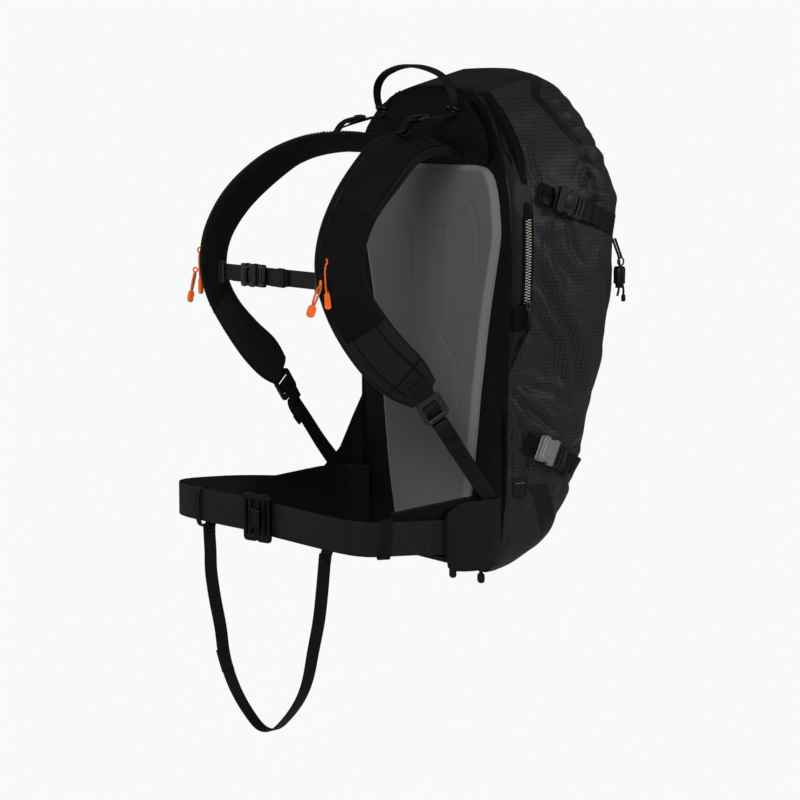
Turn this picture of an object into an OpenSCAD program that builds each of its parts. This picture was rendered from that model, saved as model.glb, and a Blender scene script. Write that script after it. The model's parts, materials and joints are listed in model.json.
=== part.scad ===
// Avalanche airbag backpack: a panelled bag, back foam and frame, shoulder and hip harness,
// webbing with its buckles, and an electric airbag system inside.
// +X is the wearer's left, -Y faces the wearer's back, +Z is up.

/* [Bag] */
// Thickness of a sewn and laminated bag wall
wall_t = 3; // [2:0.5:4]
// Depth of the strip between the back panel and the main zip
gusset_d = 18; // [16:1:24]
// Height of the hinge line where the opened front section folds down
fold_z = 316; // [300:1:325]

/* [Back] */
// Thickness of the moulded back foam
foam_t = 9; // [7:0.5:12]
// Thickness of the plastic frame sheet
sheet_t = 1.5; // [1:0.1:2]

/* [Harness] */
// Width of a shoulder pad
pad_w = 54; // [50:1:56]
// Thickness of a shoulder pad
pad_t = 12; // [9:1:13]
// Width of the hip belt webbing
belt_w = 41; // [38:1:43]
// Width of the strap webbing
web_w = 20; // [18:1:22]
// Width of the compression straps on the bag's sides
side_w = 25; // [22:1:27]
// Thickness of all webbing
web_t = 1.6; // [1.2:0.1:1.8]
// Width of the leg strap webbing
leg_w = 16; // [14:1:18]

/* [Airbag system] */
// Outside radius of the blower housing
blower_r = 45; // [42:1:48]
// Radius of the impeller
impeller_r = 38; // [34:1:38]

/* [Hidden] */

$fn = 48;
gap = 0.5;                 // clearance between parts that move apart
origin_z = 267;            // height of the origin above the bag's base

// Bag sections from base to crown: height, half width, rear reach, front reach
BAG = [
    [0, 106, -60, 44], [12, 119, -60, 62], [35, 133, -60, 100], [75, 140, -60, 130],
    [140, 144, -60, 157], [250, 147, -60, 190], [320, 150, -60, 203], [400, 153, -60, 209],
    [460, 150, -60, 217], [505, 137, -60, 204], [545, 119, -52, 187], [575, 103, -34, 170],
    [595, 82, 4, 156], [608, 60, 40, 139], [619, 30, 66, 116]
];
bag_top = BAG[len(BAG) - 1][0];
ring_n = 40;               // points round one bag section

// Foam outline, right half: half width and height
FOAM = [
    [0, 503], [78, 503], [106, 499], [120, 489], [129, 464], [134, 425], [131, 402],
    [116, 337], [104, 268], [96, 215], [89, 160], [82, 110], [70, 52], [58, 34], [0, 34]
];

// Left shoulder pad: centre line point, direction across the pad, width
PAD = [
    [[54, -16, 514], [1, 0.05, -0.1], 50], [[64, -52, 526], [0.95, 0.15, -0.3], 54],
    [[80, -96, 527], [0.85, 0.3, -0.45], 56], [[96, -134, 518], [0.7, 0.45, -0.55], 56],
    [[111, -170, 496], [0.5, 0.6, -0.62], 56], [[121, -208, 462], [0.35, 0.85, -0.42], pad_w],
    [[127, -232, 425], [0.36, 0.93, -0.2], pad_w], [[130, -240, 390], [0.4, 0.92, 0], pad_w],
    [[134, -233, 354], [0.45, 0.85, 0.2], pad_w], [[137, -212, 318], [0.5, 0.7, 0.4], 58],
    [[139, -182, 283], [0.45, 0.62, 0.6], 60], [[142, -152, 257], [0.35, 0.6, 0.7], 56],
    [[147, -130, 238], [0.3, 0.62, 0.72], 38]
];

// Left lower strap webbing, from the ladder lock down to the bag's corner
LOWER_WEB = [
    [[151.2, -107, 200], [0.3, 0.72, 0.55], web_w], [[152, -88, 175], [0.25, 0.75, 0.5], web_w],
    [[153.8, -62, 140], [0.15, 0.78, 0.5], web_w], [[153.8, -42, 115], [0, 0.8, 0.5], web_w],
    [[152.6, -31, 101], [0, 0.7, 0.6], web_w]
];

// Load lifters, from the bag to the pad's crest; the left one is let out further than the right
LIFTER_LEFT = [
    [[68, -23, 561], [1, 0, 0], 15], [[73, -56, 558.5], [1, 0, 0], 15],
    [[80, -90, 554], [1, 0.2, -0.1], 15], [[89, -120, 539], [1, 0.3, -0.4], 15]
];
LIFTER_RIGHT = [
    [[-68, -23, 561], [1, 0, 0], 15], [[-71, -48, 556.5], [1, 0, 0], 15],
    [[-75, -80, 547], [1, 0, 0.2], 15], [[-79, -98, 539], [1, -0.1, 0.4], 15]
];

// Haul loop, from foot to foot
HAUL = [
    [[72, -26, 568], [0, 1, 0], 12], [[75, -28.5, 584], [0.1, 1, 0], 12],
    [[69, -31, 600], [0, 1, 0], 12], [[51, -33, 612.5], [0, 1, 0], 12],
    [[18, -35, 620.5], [0, 1, 0], 12], [[-18, -35, 620.5], [0, 1, 0], 12],
    [[-51, -33, 612.5], [0, 1, 0], 12], [[-69, -31, 600], [0, 1, 0], 12],
    [[-75, -28.5, 584], [-0.1, 1, 0], 12], [[-72, -26, 568], [0, 1, 0], 12]
];

// Left hip wing: centre line point, direction across the wing, height
WING = [
    [[118, -8, 66], [0, 0, 1], 78], [[138, -20, 66], [0, 0, 1], 80],
    [[146, -44, 67], [0, 0, 1], 80], [[147, -76, 70], [0, 0, 1], 74],
    [[146, -120, 75], [0, 0, 1], 58], [[144, -176, 78], [0, 0, 1], 44]
];

// Cloth cover over the rear of the belt webbing, sewn to the left hip wing at its rear
WING_COVER = [
    [[141, -16, 62], [0, 0, 1], 74], [[153, -22, 62], [0, 0, 1], 78],
    [[160.2, -40, 62], [0, 0, 1], 82], [[160.4, -72, 63], [0, 0, 1], 82],
    [[159.6, -102, 65], [0, 0, 1], 66]
];

// Side outline, depth and height, of the stabiliser sheet from the hip wing up to the bag
WING_SAIL = [[-1.5, 205], [-18, 160], [-34, 130], [-62, 106], [-62, 80], [-1.5, 80]];
sail_x = 148.4;

// Near and far halves of the hip belt webbing, from hip to buckle
BELT_LEFT = [
    [[156.4, -40, 60.4], [0, 0, 1], belt_w], [[154, -120, 67], [0, 0, 1], belt_w],
    [[152.8, -160, 70.3], [0, 0, 1], belt_w], [[151.5, -205, 74], [0, 0, 1], belt_w],
    [[147, -222, 76], [0, 0, 1], belt_w], [[136, -233, 77.5], [0, 0, 1], belt_w],
    [[110, -241, 79], [0, 0, 1], belt_w], [[60, -251.4, 82], [0, 0, 1], belt_w],
    [[24, -258, 84], [0, 0, 1], belt_w]
];
BELT_RIGHT = [
    [[-153, -40, 66], [0, 0, 1], belt_w], [[-155, -76, 72], [0, 0, 1], belt_w],
    [[-154, -120, 80], [0, 0, 1], belt_w], [[-153, -190, 88], [0, 0, 1], belt_w],
    [[-152, -254, 92], [0, 0, 1], belt_w], [[-146, -282, 92.5], [0, 0, 1], belt_w],
    [[-122, -290, 91.5], [0, 0, 1], belt_w], [[-70, -279, 89], [0, 0, 1], belt_w],
    [[-24, -267, 87], [0, 0, 1], belt_w]
];
belt_turn = 10.5;          // turn of the belt's front run about Z, in degrees
buckle_at = [0, -262.5, 85.5];

// Leg strap, from its far belt loop down and up to its near one
LEG = [
    [-93, 66], [-91, 34], [-90, 8], [-84, -22], [-76, -60], [-69, -95], [-52, -131], [-32, -158],
    [-8, -176], [16, -174], [38, -155], [58, -128], [72, -98], [81, -62], [89, -22], [95, 16],
    [99, 54]
];
leg_slope = 0.19;          // how far the leg strap's plane turns towards the bag per unit of X
leg_y = -258;

// Sternum strap height, and the stand of its ends off the pads
sternum_z = 373;
sternum_y = -246;

// Compression straps: height at the buckle, rear end, buckle and front end along the bag's side, slope
UPPER_STRAP = [455, 46, 88, 172, -19];
LOWER_STRAP = [149, 32, 68, 116, -25];

// Trigger cable, from the power case through the left pad to the trigger handle
CABLE = [
    [40, 30, 350], [58, 30, 390], [72, 27, 440], [72, 20, 490], [64, 10, 512], [56, -8, 515],
    [58, -30, 520], [66, -58, 526], [80, -96, 527], [96, -134, 518], [111, -170, 496],
    [121, -206, 464], [128, -231, 446], [136.4, -242.8, 433]
];
cable_d = 4;

// ---------------------------------------------------------------- geometry helpers

function mix(a, b, t) = a + (b - a) * t;
function unit(v) = v / norm(v);
function flip(s) = [for (r = s) [[-r[0].x, r[0].y, r[0].z], [-r[1].x, r[1].y, r[1].z], r[2]]];

// Value between p1 and p2 on a smooth curve through p0, p1, p2 and p3
function spline(p0, p1, p2, p3, t) =
    0.5 * (2 * p1 + (p2 - p0) * t + (2 * p0 - 5 * p1 + 4 * p2 - p3) * t * t
        + (3 * p1 - p0 - 3 * p2 + p3) * t * t * t);
function clampi(i, n) = min(max(i, 0), n - 1);
function smooth(p, k) = [
    for (i = [0:len(p) - 2], j = [0:k - 1])
        spline(p[clampi(i - 1, len(p))], p[i], p[i + 1], p[clampi(i + 2, len(p))], j / k),
    p[len(p) - 1]
];
function column(s, i) = [for (r = s) r[i]];

// Stations of a band, thinned out by k steps between each pair
function stations(s, k) =
    let (p = smooth(column(s, 0), k), d = smooth(column(s, 1), k), w = smooth(column(s, 2), k))
    [for (i = [0:len(p) - 1]) [p[i], d[i], w[i]]];

function tangent(p, i) = unit(p[clampi(i + 1, len(p))] - p[clampi(i - 1, len(p))]);

// Closed outline of a band's section, w across and t thick, with rounded edges
function band_section(w, t) = [
    [w / 2, -t / 4], [w / 2, t / 4], [w / 2 - t / 4, t / 2], [-w / 2 + t / 4, t / 2],
    [-w / 2, t / 4], [-w / 2, -t / 4], [-w / 2 + t / 4, -t / 2], [w / 2 - t / 4, -t / 2]
];

// Solid through a list of rings with equal point counts
module loft(rings) {
    n = len(rings[0]);
    m = len(rings);
    polyhedron(
        points = [for (r = rings) for (p = r) p],
        faces = [
            [for (j = [0:n - 1]) j],
            for (i = [0:m - 2], j = [0:n - 1])
                let (a = i * n + j, b = i * n + (j + 1) % n)
                each [[a, a + n, b], [b, a + n, b + n]],
            [for (j = [n - 1:-1:0]) (m - 1) * n + j]
        ],
        convexity = 8);
}

// Flat band of thickness t through stations s
module band(s, t, k = 3) {
    r = stations(s, k);
    p = column(r, 0);
    loft([
        for (i = [0:len(r) - 1])
            let (tan = tangent(p, i), n = unit(cross(tan, r[i][1])), side = cross(n, tan))
            [for (q = band_section(r[i][2], t)) p[i] + side * q.x + n * q.y]
    ]);
}

// Round cord of diameter d through points p
module cord(p, d, k = 3) {
    c = smooth(p, k);
    loft([
        for (i = [0:len(c) - 1])
            let (tan = tangent(c, i), a = unit(cross(tan, [0.3, 0.9, 0.2])), b = cross(tan, a))
            [for (q = [0:7]) c[i] + (a * cos(45 * q) + b * sin(45 * q)) * d / 2]
    ]);
}

module both_sides() {
    children();
    mirror([1, 0, 0]) children();
}

// Moves the model from the bag's base frame to the origin in the middle of the foam's face
module at_origin() translate([0, foam_t, -origin_z]) children();

// ---------------------------------------------------------------- bag shell

function power4(c) = sign(c) * sqrt(abs(c));

// One bag section, drawn inside the outer wall by inset
function bag_ring(row, inset) =
    let (mid = (row[2] + row[3]) / 2, half = (row[3] - row[2]) / 2 - inset, w = row[1] - inset)
    [for (j = [0:ring_n - 1])
        let (a = 360 * (j + 0.5) / ring_n)
        [w * power4(cos(a)), mid + half * power4(sin(a)), row[0]]];

// Surface of the bag's side at depth y and height z
function bag_row(z) =
    let (i = max([for (k = [0:len(BAG) - 2]) BAG[k][0] <= z ? k : 0]),
        t = (z - BAG[i][0]) / (BAG[i + 1][0] - BAG[i][0]))
    mix(BAG[i], BAG[i + 1], t);
function side_x(y, z) =
    let (r = bag_row(z), u = (y - (r[2] + r[3]) / 2) / ((r[3] - r[2]) / 2))
    r[1] * pow(1 - pow(u, 4), 0.25);

module bag_solid(inset) {
    lift = inset > 0 ? [0, 0, -inset] : [0, 0, 0];
    loft([
        for (r = BAG)
            let (s = r[0] > 580 ? lift : (r[0] == 0 ? -lift : [0, 0, 0]))
            [for (p = bag_ring(r, inset)) p + s]
    ]);
}

module bag_wall() {
    difference() {
        bag_solid(0);
        bag_solid(wall_t);
    }
}

// Part of the bag's wall between two depths and two heights
module wall_part(y0, y1, z0, z1) {
    intersection() {
        bag_wall();
        translate([-200, y0, z0]) cube([400, y1 - y0, z1 - z0]);
    }
}

back_t = wall_t + gap;
zip_y = back_t + gusset_d;
hinge_y = bag_row(fold_z)[3] + 1;

module back_panel() {
    color("#141414") at_origin() intersection() {
        bag_solid(0);
        translate([-200, 0, wall_t + gap]) cube([400, wall_t, 594 - wall_t - gap]);
    }
}

module rear_gusset() {
    color("#161517") at_origin() wall_part(back_t, zip_y - gap, fold_z, 700);
}

module lower_body() {
    color("#2d2a2d") at_origin() wall_part(back_t, 300, wall_t + gap, fold_z - gap);
}

module bottom_panel() {
    color("#141414") at_origin() intersection() {
        bag_solid(0);
        translate([-200, 0, 0]) cube([400, 300, wall_t]);
    }
}

module upper_shell() {
    color("#2d2a2d") at_origin() wall_part(zip_y, 300, fold_z + gap, 700);
}

// ---------------------------------------------------------------- back

function mirrored(p) = concat(p, [for (i = [len(p) - 2:-1:1]) [-p[i].x, p[i].y]]);

// Upright plate from outline p, its front face at depth y
module plate(p, y, t) {
    translate([0, y + t, 0]) rotate([90, 0, 0]) linear_extrude(t) polygon(p);
}

module back_foam() {
    channel = [[-26, 290], [-34, 427], [34, 427], [26, 290]];
    color("#424242") at_origin() difference() {
        union() {
            plate(mirrored(FOAM), -foam_t, foam_t / 2);
            plate(mirrored([for (p = FOAM) [p.x * 1.04, p.y == 0 ? 0 : p.y]]), -foam_t / 2, foam_t / 2 - 0.1);
        }
        plate(channel, -foam_t - 0.1, 1.6);
    }
}

module frame_sheet() {
    outline = [[0, 480], [85, 480], [105, 455], [112, 400], [78, 160], [62, 60], [0, 60]];
    color("#303030") at_origin() plate(mirrored(outline), back_t + 0.2, sheet_t);
}

module frame_stays() {
    y = back_t + 0.4 + sheet_t;
    color("silver") at_origin() both_sides() difference() {
        translate([30, y, 70]) cube([22, 3, 400]);
        for (z = [90, 450]) translate([41, y - 1, z]) rotate([-90, 0, 0]) cylinder(r = 2.5, h = 5);
    }
}

module upper_back_pad() {
    rows = [[503, 112, -3], [514, 120, -22], [545, 112, -27], [572, 86, -22], [590, 58, -12], [598, 30, -6]];
    color("#121212") at_origin() difference() {
        loft([for (r = rows)
            [for (a = [345:-15:0])
                [r[1] * power4(cos(a)), r[2] / 2 - 0.4 + (r[2] / 2 + 0.1) * power4(sin(a)), r[0]]]]);
        both_sides() {
            translate([8, -60, 484]) cube([92, 60 - 5, 62]);
            translate([60, -60, 556]) cube([24, 60 - 15, 18]);
        }
        translate([44, -60, 498]) cube([28, 62, 30]);
    }
}

// ---------------------------------------------------------------- airbag system

blower_at = [0, 66, 400];

module airbag() {
    rows = [[506, 100, 30, 150], [520, 108, 20, 166], [550, 98, 20, 150], [575, 76, 24, 132], [584, 60, 40, 118]];
    color("#d8a020") at_origin() loft([for (r = rows) [for (p = bag_ring(r, 0)) p]]);
}

module blower_housing() {
    color("#202224") at_origin() translate(blower_at) difference() {
        cylinder(r = blower_r, h = 62);
        translate([0, 0, 3]) cylinder(r = blower_r - 3, h = 56);
        translate([0, 0, -1]) cylinder(r = 3.1, h = 8);
        translate([0, 0, 50]) cylinder(r = 18, h = 20);
        for (a = [0:40:320]) rotate(a) translate([28, 0, -1]) cylinder(r = 6, h = 6);
    }
}

module impeller() {
    color("#8a8d90") at_origin() translate(blower_at) {
        translate([0, 0, -6]) cylinder(r = 3.05, h = 48);
        translate([0, 0, 8]) cylinder(r = impeller_r, h = 2.5);
        translate([0, 0, 10]) cylinder(r = 9, h = 24);
        for (a = [0:40:320]) rotate(a) translate([8, -0.8, 10]) cube([impeller_r - 9, 1.6, 26]);
    }
}

module motor() {
    color("#606468") at_origin() translate(blower_at) difference() {
        translate([0, 0, -42]) cylinder(r = 17, h = 41.8);
        translate([0, 0, -7]) cylinder(r = 3.1, h = 10);
    }
}

module outlet_duct() {
    color("#1c1c1c") at_origin() translate(blower_at + [0, 0, 62.1]) difference() {
        union() {
            cylinder(r = 24, h = 43.7);
            cylinder(r = 30, h = 3);
        }
        translate([0, 0, -1]) cylinder(r = 21, h = 50);
    }
}

case_at = [-62, 18, 262];
case_size = [124, 46, 84];

module power_case() {
    color("#26282a") at_origin() translate(case_at) difference() {
        cube(case_size);
        translate([3, 3, 3]) cube(case_size - [6, 6, 6]);
        translate([22, 28, case_size.z - 4]) cylinder(r = 6, h = 6);
        translate([case_size.x / 2 - 10, -1, 10]) cube([20, 5, 8]);
    }
}

module capacitors() {
    color("#3556a0") at_origin() for (x = [0, 1])
        translate(case_at + [22 + 36 * x, 24, 6]) cylinder(r = 16, h = 58);
}

module control_board() {
    color("#1d6b3a") at_origin() {
        translate(case_at + [78.5, 5, 6]) cube([1.6, 36, 66]);
        translate(case_at + [80.2, 12, 20]) cube([4, 20, 24]);
    }
}

module battery_cells() {
    color("#b0b4b8") at_origin() for (y = [0, 1])
        translate(case_at + [102, 14 + 17 * y, 8]) cylinder(r = 7.2, h = 50);
}

module power_button() {
    color("#c04020") at_origin() translate(case_at + [22, 28, case_size.z - 3]) {
        cylinder(r = 5.5, h = 7);
        translate([0, 0, -2]) cylinder(r = 5.5, h = 2.5);
    }
}

// ---------------------------------------------------------------- trigger

pad_turn = -23.5;          // turn of the pad's outer face about Z, in degrees

// Places children on the left pad's outer face; +X local runs down the pad
handle_at = [130, -240, 392];
module on_pad() {
    translate(handle_at) rotate([0, 0, pad_turn]) rotate([0, -6, 0]) children();
}
pocket_x = pad_t / 2 + 1.5; // stand of the pocket off the middle of the pad

module trigger_cable() {
    color("#303030") at_origin() cord(CABLE, cable_d, 2);
}

module trigger_handle() {
    color("#d8401c") at_origin() on_pad() {
        translate([pocket_x + 0.5, -3, -34]) cube([3.6, 16, 66]);
        translate([pocket_x + 0.5, -8, -34]) cube([3.6, 26, 14]);
        translate([pocket_x + 2.3, 0, 30]) cylinder(r = 1.8, h = 6);
    }
}

module trigger_pocket() {
    color("#161616") at_origin() on_pad() difference() {
        translate([pocket_x, -12, -66]) cube([6.2, 34, 112]);
        translate([pocket_x - 1, -10, -64]) cube([5.7, 30, 108]);
    }
}

// ---------------------------------------------------------------- shoulder harness

module left_strap_pad() {
    color("#181818") at_origin() band(PAD, pad_t);
}

module right_strap_pad() {
    color("#181818") at_origin() band(flip(PAD), pad_t);
}

module strap_webbing() {
    color("#1e1e1e") at_origin() both_sides() band(LOWER_WEB, web_t);
}

lock_bar = 12.6;           // distance of the ladder lock's upper bar from its middle one

// Ladder lock in its own frame: +X down the webbing, +Y across it
module ladder_lock() {
    difference() {
        translate([-15, -16, -2]) cube([30, 32, 4]);
        for (x = [-10.5, 2.5]) translate([x, -12, -3]) cube([8, 24, 6]);
    }
    for (x = [-lock_bar, 0]) translate([x, -12, 0]) rotate([-90, 0, 0]) cylinder(r = 2.4, h = 24);
}
lock_at = [150.2, -119.8, 219.6];
lock_turn = [103.5, 56, 84.8];
module place_lock() translate(lock_at) rotate(lock_turn) children();

module left_ladder_lock() {
    color("#3a3a3a") at_origin() place_lock() ladder_lock();
}

module right_ladder_lock() {
    color("#3a3a3a") at_origin() mirror([1, 0, 0]) place_lock() ladder_lock();
}

module load_lifter_straps() {
    color("#1a1a1a") at_origin() {
        band(LIFTER_LEFT, 1.4, 2);
        band(LIFTER_RIGHT, 1.4, 2);
    }
}

module lifter_adjuster() {
    difference() {
        translate([-11, -9, 0]) cube([22, 18, 3.5]);
        for (y = [-6.5, 1.5]) translate([-8, y, -1]) cube([16, 5, 6]);
    }
}

module load_lifter_adjusters() {
    color("#101010") at_origin() {
        translate([79, -86, 556.6]) rotate([12, 0, 11]) lifter_adjuster();
        translate([-73, -65, 553.6]) rotate([17, 0, 0]) lifter_adjuster();
    }
}

module haul_loop() {
    color("#1a1a1a") at_origin() band(HAUL, 2.4, 3);
}

// ---------------------------------------------------------------- hip belt

module wing_sail() {
    translate([sail_x - 1.2, 0, 0]) rotate([90, 0, 90]) linear_extrude(2.4) polygon(WING_SAIL);
}

module left_hip_wing() {
    color("#262427") at_origin() {
        band(WING, 9);
        band(WING_COVER, 2.2);
        wing_sail();
    }
}

module right_hip_wing() {
    color("#262427") at_origin() {
        band(flip(WING), 9);
        band(flip(WING_COVER), 2.2);
        mirror([1, 0, 0]) wing_sail();
    }
}

module belt_webbing() {
    color("#242424") at_origin() {
        band(BELT_LEFT, 2);
        band(BELT_RIGHT, 2);
    }
}

// Children in the belt buckle's frame: +X towards the wearer's left along the belt
module at_buckle() translate(buckle_at) rotate([0, 0, belt_turn]) children();

// One metal frame of the belt buckle, with two webbing slots
module buckle_plate(w, h, t) {
    difference() {
        translate([0, -t / 2, -h / 2]) cube([w, t, h]);
        for (x = [3.5, w / 2 + 1.25])
            translate([x, -t, -h / 2 + 5]) cube([w / 2 - 4.75, 2 * t, h - 10]);
    }
}

module belt_buckle_hook() {
    color("#161616") at_origin() at_buckle() {
        mirror([1, 0, 0]) translate([1, -5, 0]) buckle_plate(20, 56, 5);
        translate([-6, -11.5, -12]) cube([22, 3.5, 24]);
        translate([-6, -9, -12]) cube([4, 4, 24]);
    }
}

module belt_buckle_frame() {
    color("#161616") at_origin() at_buckle() translate([1, -5, 0]) buckle_plate(20, 56, 5);
}

keeper_at = [151.9, -192, 72.9];

module belt_keeper() {
    color("#101010") at_origin() translate(keeper_at) rotate([-4.7, 0, -1.7]) difference() {
        cube([6.6, 16, belt_w + 7], center = true);
        cube([4.2, 20, belt_w + 3.4], center = true);
    }
}

module leg_strap() {
    pts = [for (p = LEG) [p.x, leg_y + leg_slope * p.x, p.y]];
    color("#1c1c1c") at_origin() {
        band([for (p = pts) [p, [0.1, 1, 0], leg_w]], web_t, 2);
    }
}

// ---------------------------------------------------------------- side-release buckles

buckle_l = 24;

// Socket half for webbing of width w: opens towards +X, lies on Z = 0
module socket_half(w) {
    buckle_w = w + 6;
    difference() {
        translate([-buckle_l, -buckle_w / 2, 0]) cube([buckle_l, buckle_w, 9]);
        translate([-buckle_l + 7, -buckle_w / 2 + 2.5, 2]) cube([buckle_l, buckle_w - 5, 5]);
        translate([-buckle_l + 2.5, -w / 2, -1]) cube([2.5, w, 12]);
        for (s = [-1, 1])
            translate([-10, s * buckle_w / 2, 4.5]) cube([10, 4, 20], center = true);
    }
}

// Plug half: two sprung arms and a centre guide that enter the socket, and a webbing bar
module plug_half(w) {
    buckle_w = w + 6;
    translate([0.6, -buckle_w / 2, 0]) cube([5, buckle_w, 9]);
    for (s = [-1, 1]) translate([-14, s * (w / 2 - 2) - 1.75, 2.6]) cube([15, 3.5, 3.8]);
    translate([-14, -1.5, 2.6]) cube([15, 3, 3.8]);
    for (s = [-1, 1]) translate([5, s * (buckle_w / 2 - 1.5) - 1.5, 2]) cube([13, 3, 6]);
    translate([15, -buckle_w / 2 + 1, 2]) cube([3.5, buckle_w - 2, 4]);
}

// Webbing of strap s on the bag's side, standing off by off
function side_band(s, w, off) = [
    for (i = [0:4])
        let (y = mix(s[1], s[3], i / 4), z = s[0] + tan(s[4]) * (y - s[2]),
            lean = (side_x(y, z + w / 2) - side_x(y, z - w / 2)) / w)
        [[side_x(y, z) + off, y, z], [lean, -sin(s[4]), cos(s[4])], w]
];

module place_side_buckle(s) {
    translate([side_x(s[2], s[0]) + 6.2, s[2], s[0]]) rotate([s[4], 0, 0]) rotate([90, 0, 90]) children();
}

module upper_compression_straps() {
    color("#1c1a1c") at_origin() both_sides()
        band(side_band(UPPER_STRAP, side_w, 3.4), web_t, 2);
}

module lower_compression_straps() {
    color("#1c1a1c") at_origin() both_sides()
        band(side_band(LOWER_STRAP, side_w, 4.1), web_t, 2);
}

module upper_buckle_females() {
    color("#0e0e0e") at_origin() both_sides() place_side_buckle(UPPER_STRAP) socket_half(side_w);
}

module lower_buckle_females() {
    color("#0e0e0e") at_origin() both_sides() place_side_buckle(LOWER_STRAP) socket_half(side_w);
}

module upper_left_buckle_male() {
    color("#0e0e0e") at_origin() place_side_buckle(UPPER_STRAP) plug_half(side_w);
}

module upper_right_buckle_male() {
    color("#0e0e0e") at_origin() mirror([1, 0, 0]) place_side_buckle(UPPER_STRAP) plug_half(side_w);
}

module lower_left_buckle_male() {
    color("#6a6a68") at_origin() place_side_buckle(LOWER_STRAP) plug_half(side_w);
}

module lower_right_buckle_male() {
    color("#6a6a68") at_origin() mirror([1, 0, 0]) place_side_buckle(LOWER_STRAP) plug_half(side_w);
}

// ---------------------------------------------------------------- sternum strap

sternum_half = 108;
sternum_buckle_x = -22;
module at_sternum() translate([sternum_buckle_x, sternum_y - 1.4, sternum_z]) rotate([90, 0, 0]) children();

module sternum_webbing() {
    color("#1a1a1a") at_origin()
        translate([-sternum_half, sternum_y - web_t / 2, sternum_z - web_w / 2])
            cube([2 * sternum_half, web_t, web_w]);
}

module sternum_buckle_female() {
    color("#0e0e0e") at_origin() at_sternum() socket_half(web_w);
}

module sternum_buckle_male() {
    color("#0e0e0e") at_origin() at_sternum() plug_half(web_w);
}

// ---------------------------------------------------------------- zips and pulls

zip_low = 322;
zip_high = 470;

module main_zip() {
    zs = [zip_low, 360, 400, 435, zip_high];
    color("#b8b2a6") at_origin() both_sides()
        band([for (z = zs) [[side_x(zip_y, z) + 2.4, zip_y - 0.3, z], [0, 1, 0], 5]], 1.6, 2);
}

module zip_slider() {
    translate([side_x(zip_y, zip_low) + 6, zip_y - 0.3, zip_low + 12]) {
        cube([3, 9, 12], center = true);
        translate([2, 0, -14]) cube([1.6, 6, 26], center = true);
    }
}

module left_zip_slider() {
    color("#1a1a1a") at_origin() zip_slider();
}

module right_zip_slider() {
    color("#1a1a1a") at_origin() mirror([1, 0, 0]) zip_slider();
}

// Zip pull: an eye, a cord loop and a moulded end of length tab, hanging l long from its eye
module pull(l, tab = 16) {
    rotate([90, 0, 0]) difference() {
        cylinder(r = 3.5, h = 2, center = true);
        cylinder(r = 1.5, h = 4, center = true);
    }
    translate([-1, -1.25, -l + tab - 2]) cube([2, 2.5, l - tab - 1]);
    translate([-2, -4, -l]) cube([4, 8, tab]);
}
pull_high = [131.5, -259.2, 398];
pull_low = [130.3, -266.7, 374];
module place_pull(at) translate(at) rotate([0, 0, pad_turn]) children();

module left_pull_upper() {
    color("#e8641e") at_origin() place_pull(pull_high) pull(52);
}

module left_pull_lower() {
    color("#e8641e") at_origin() place_pull(pull_low) pull(52);
}

module right_pull_upper() {
    color("#e8641e") at_origin() mirror([1, 0, 0]) place_pull(pull_high) pull(52);
}

module right_pull_lower() {
    color("#e8641e") at_origin() mirror([1, 0, 0]) place_pull(pull_low) pull(52);
}

module bottom_zip_pulls() {
    turn = atan2(8, 46);
    color("#101010") at_origin() for (at = [[26, 14], [72, 22]])
        translate([at.x, at.y, -4.4]) rotate([0, 0, turn - 90]) pull(15, 9);
}

// ---------------------------------------------------------------- cord lock

lock_pos = [136, 193, 362];

module bungee_loop() {
    pts = [[128, 187.5, 408], [131.5, 190.5, 395], [135, 192.5, 384], [136, 193, 373.4]];
    color("#141414") at_origin() cord(pts, 3, 3);
}

module cord_lock() {
    color("#0e0e0e") at_origin() translate(lock_pos) difference() {
        translate([0, 0, -11]) cylinder(r = 7.5, h = 22);
        translate([0, 0, -12]) cylinder(r = 5.1, h = 16);
    }
}

module cord_lock_button() {
    color("#0e0e0e") at_origin() translate(lock_pos) translate([0, 0, -16]) cylinder(r = 5, h = 14);
}

back_panel();
back_foam();
frame_sheet();
frame_stays();
upper_back_pad();
rear_gusset();
lower_body();
bottom_panel();
upper_shell();
airbag();
blower_housing();
impeller();
motor();
outlet_duct();
power_case();
capacitors();
control_board();
battery_cells();
power_button();
trigger_cable();
trigger_handle();
trigger_pocket();
left_strap_pad();
right_strap_pad();
strap_webbing();
left_ladder_lock();
right_ladder_lock();
load_lifter_straps();
load_lifter_adjusters();
haul_loop();
left_hip_wing();
right_hip_wing();
belt_webbing();
belt_buckle_hook();
belt_buckle_frame();
belt_keeper();
leg_strap();
sternum_webbing();
sternum_buckle_female();
sternum_buckle_male();
upper_compression_straps();
lower_compression_straps();
upper_buckle_females();
lower_buckle_females();
upper_left_buckle_male();
upper_right_buckle_male();
lower_left_buckle_male();
lower_right_buckle_male();
main_zip();
left_zip_slider();
right_zip_slider();
left_pull_upper();
left_pull_lower();
right_pull_upper();
right_pull_lower();
bottom_zip_pulls();
cord_lock();
cord_lock_button();
bungee_loop();
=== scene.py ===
"""Looks of the avalanche airbag backpack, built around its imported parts."""

import json
import math

import bmesh
import bpy
import numpy as np
from mathutils import Matrix, Vector, noise

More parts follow.
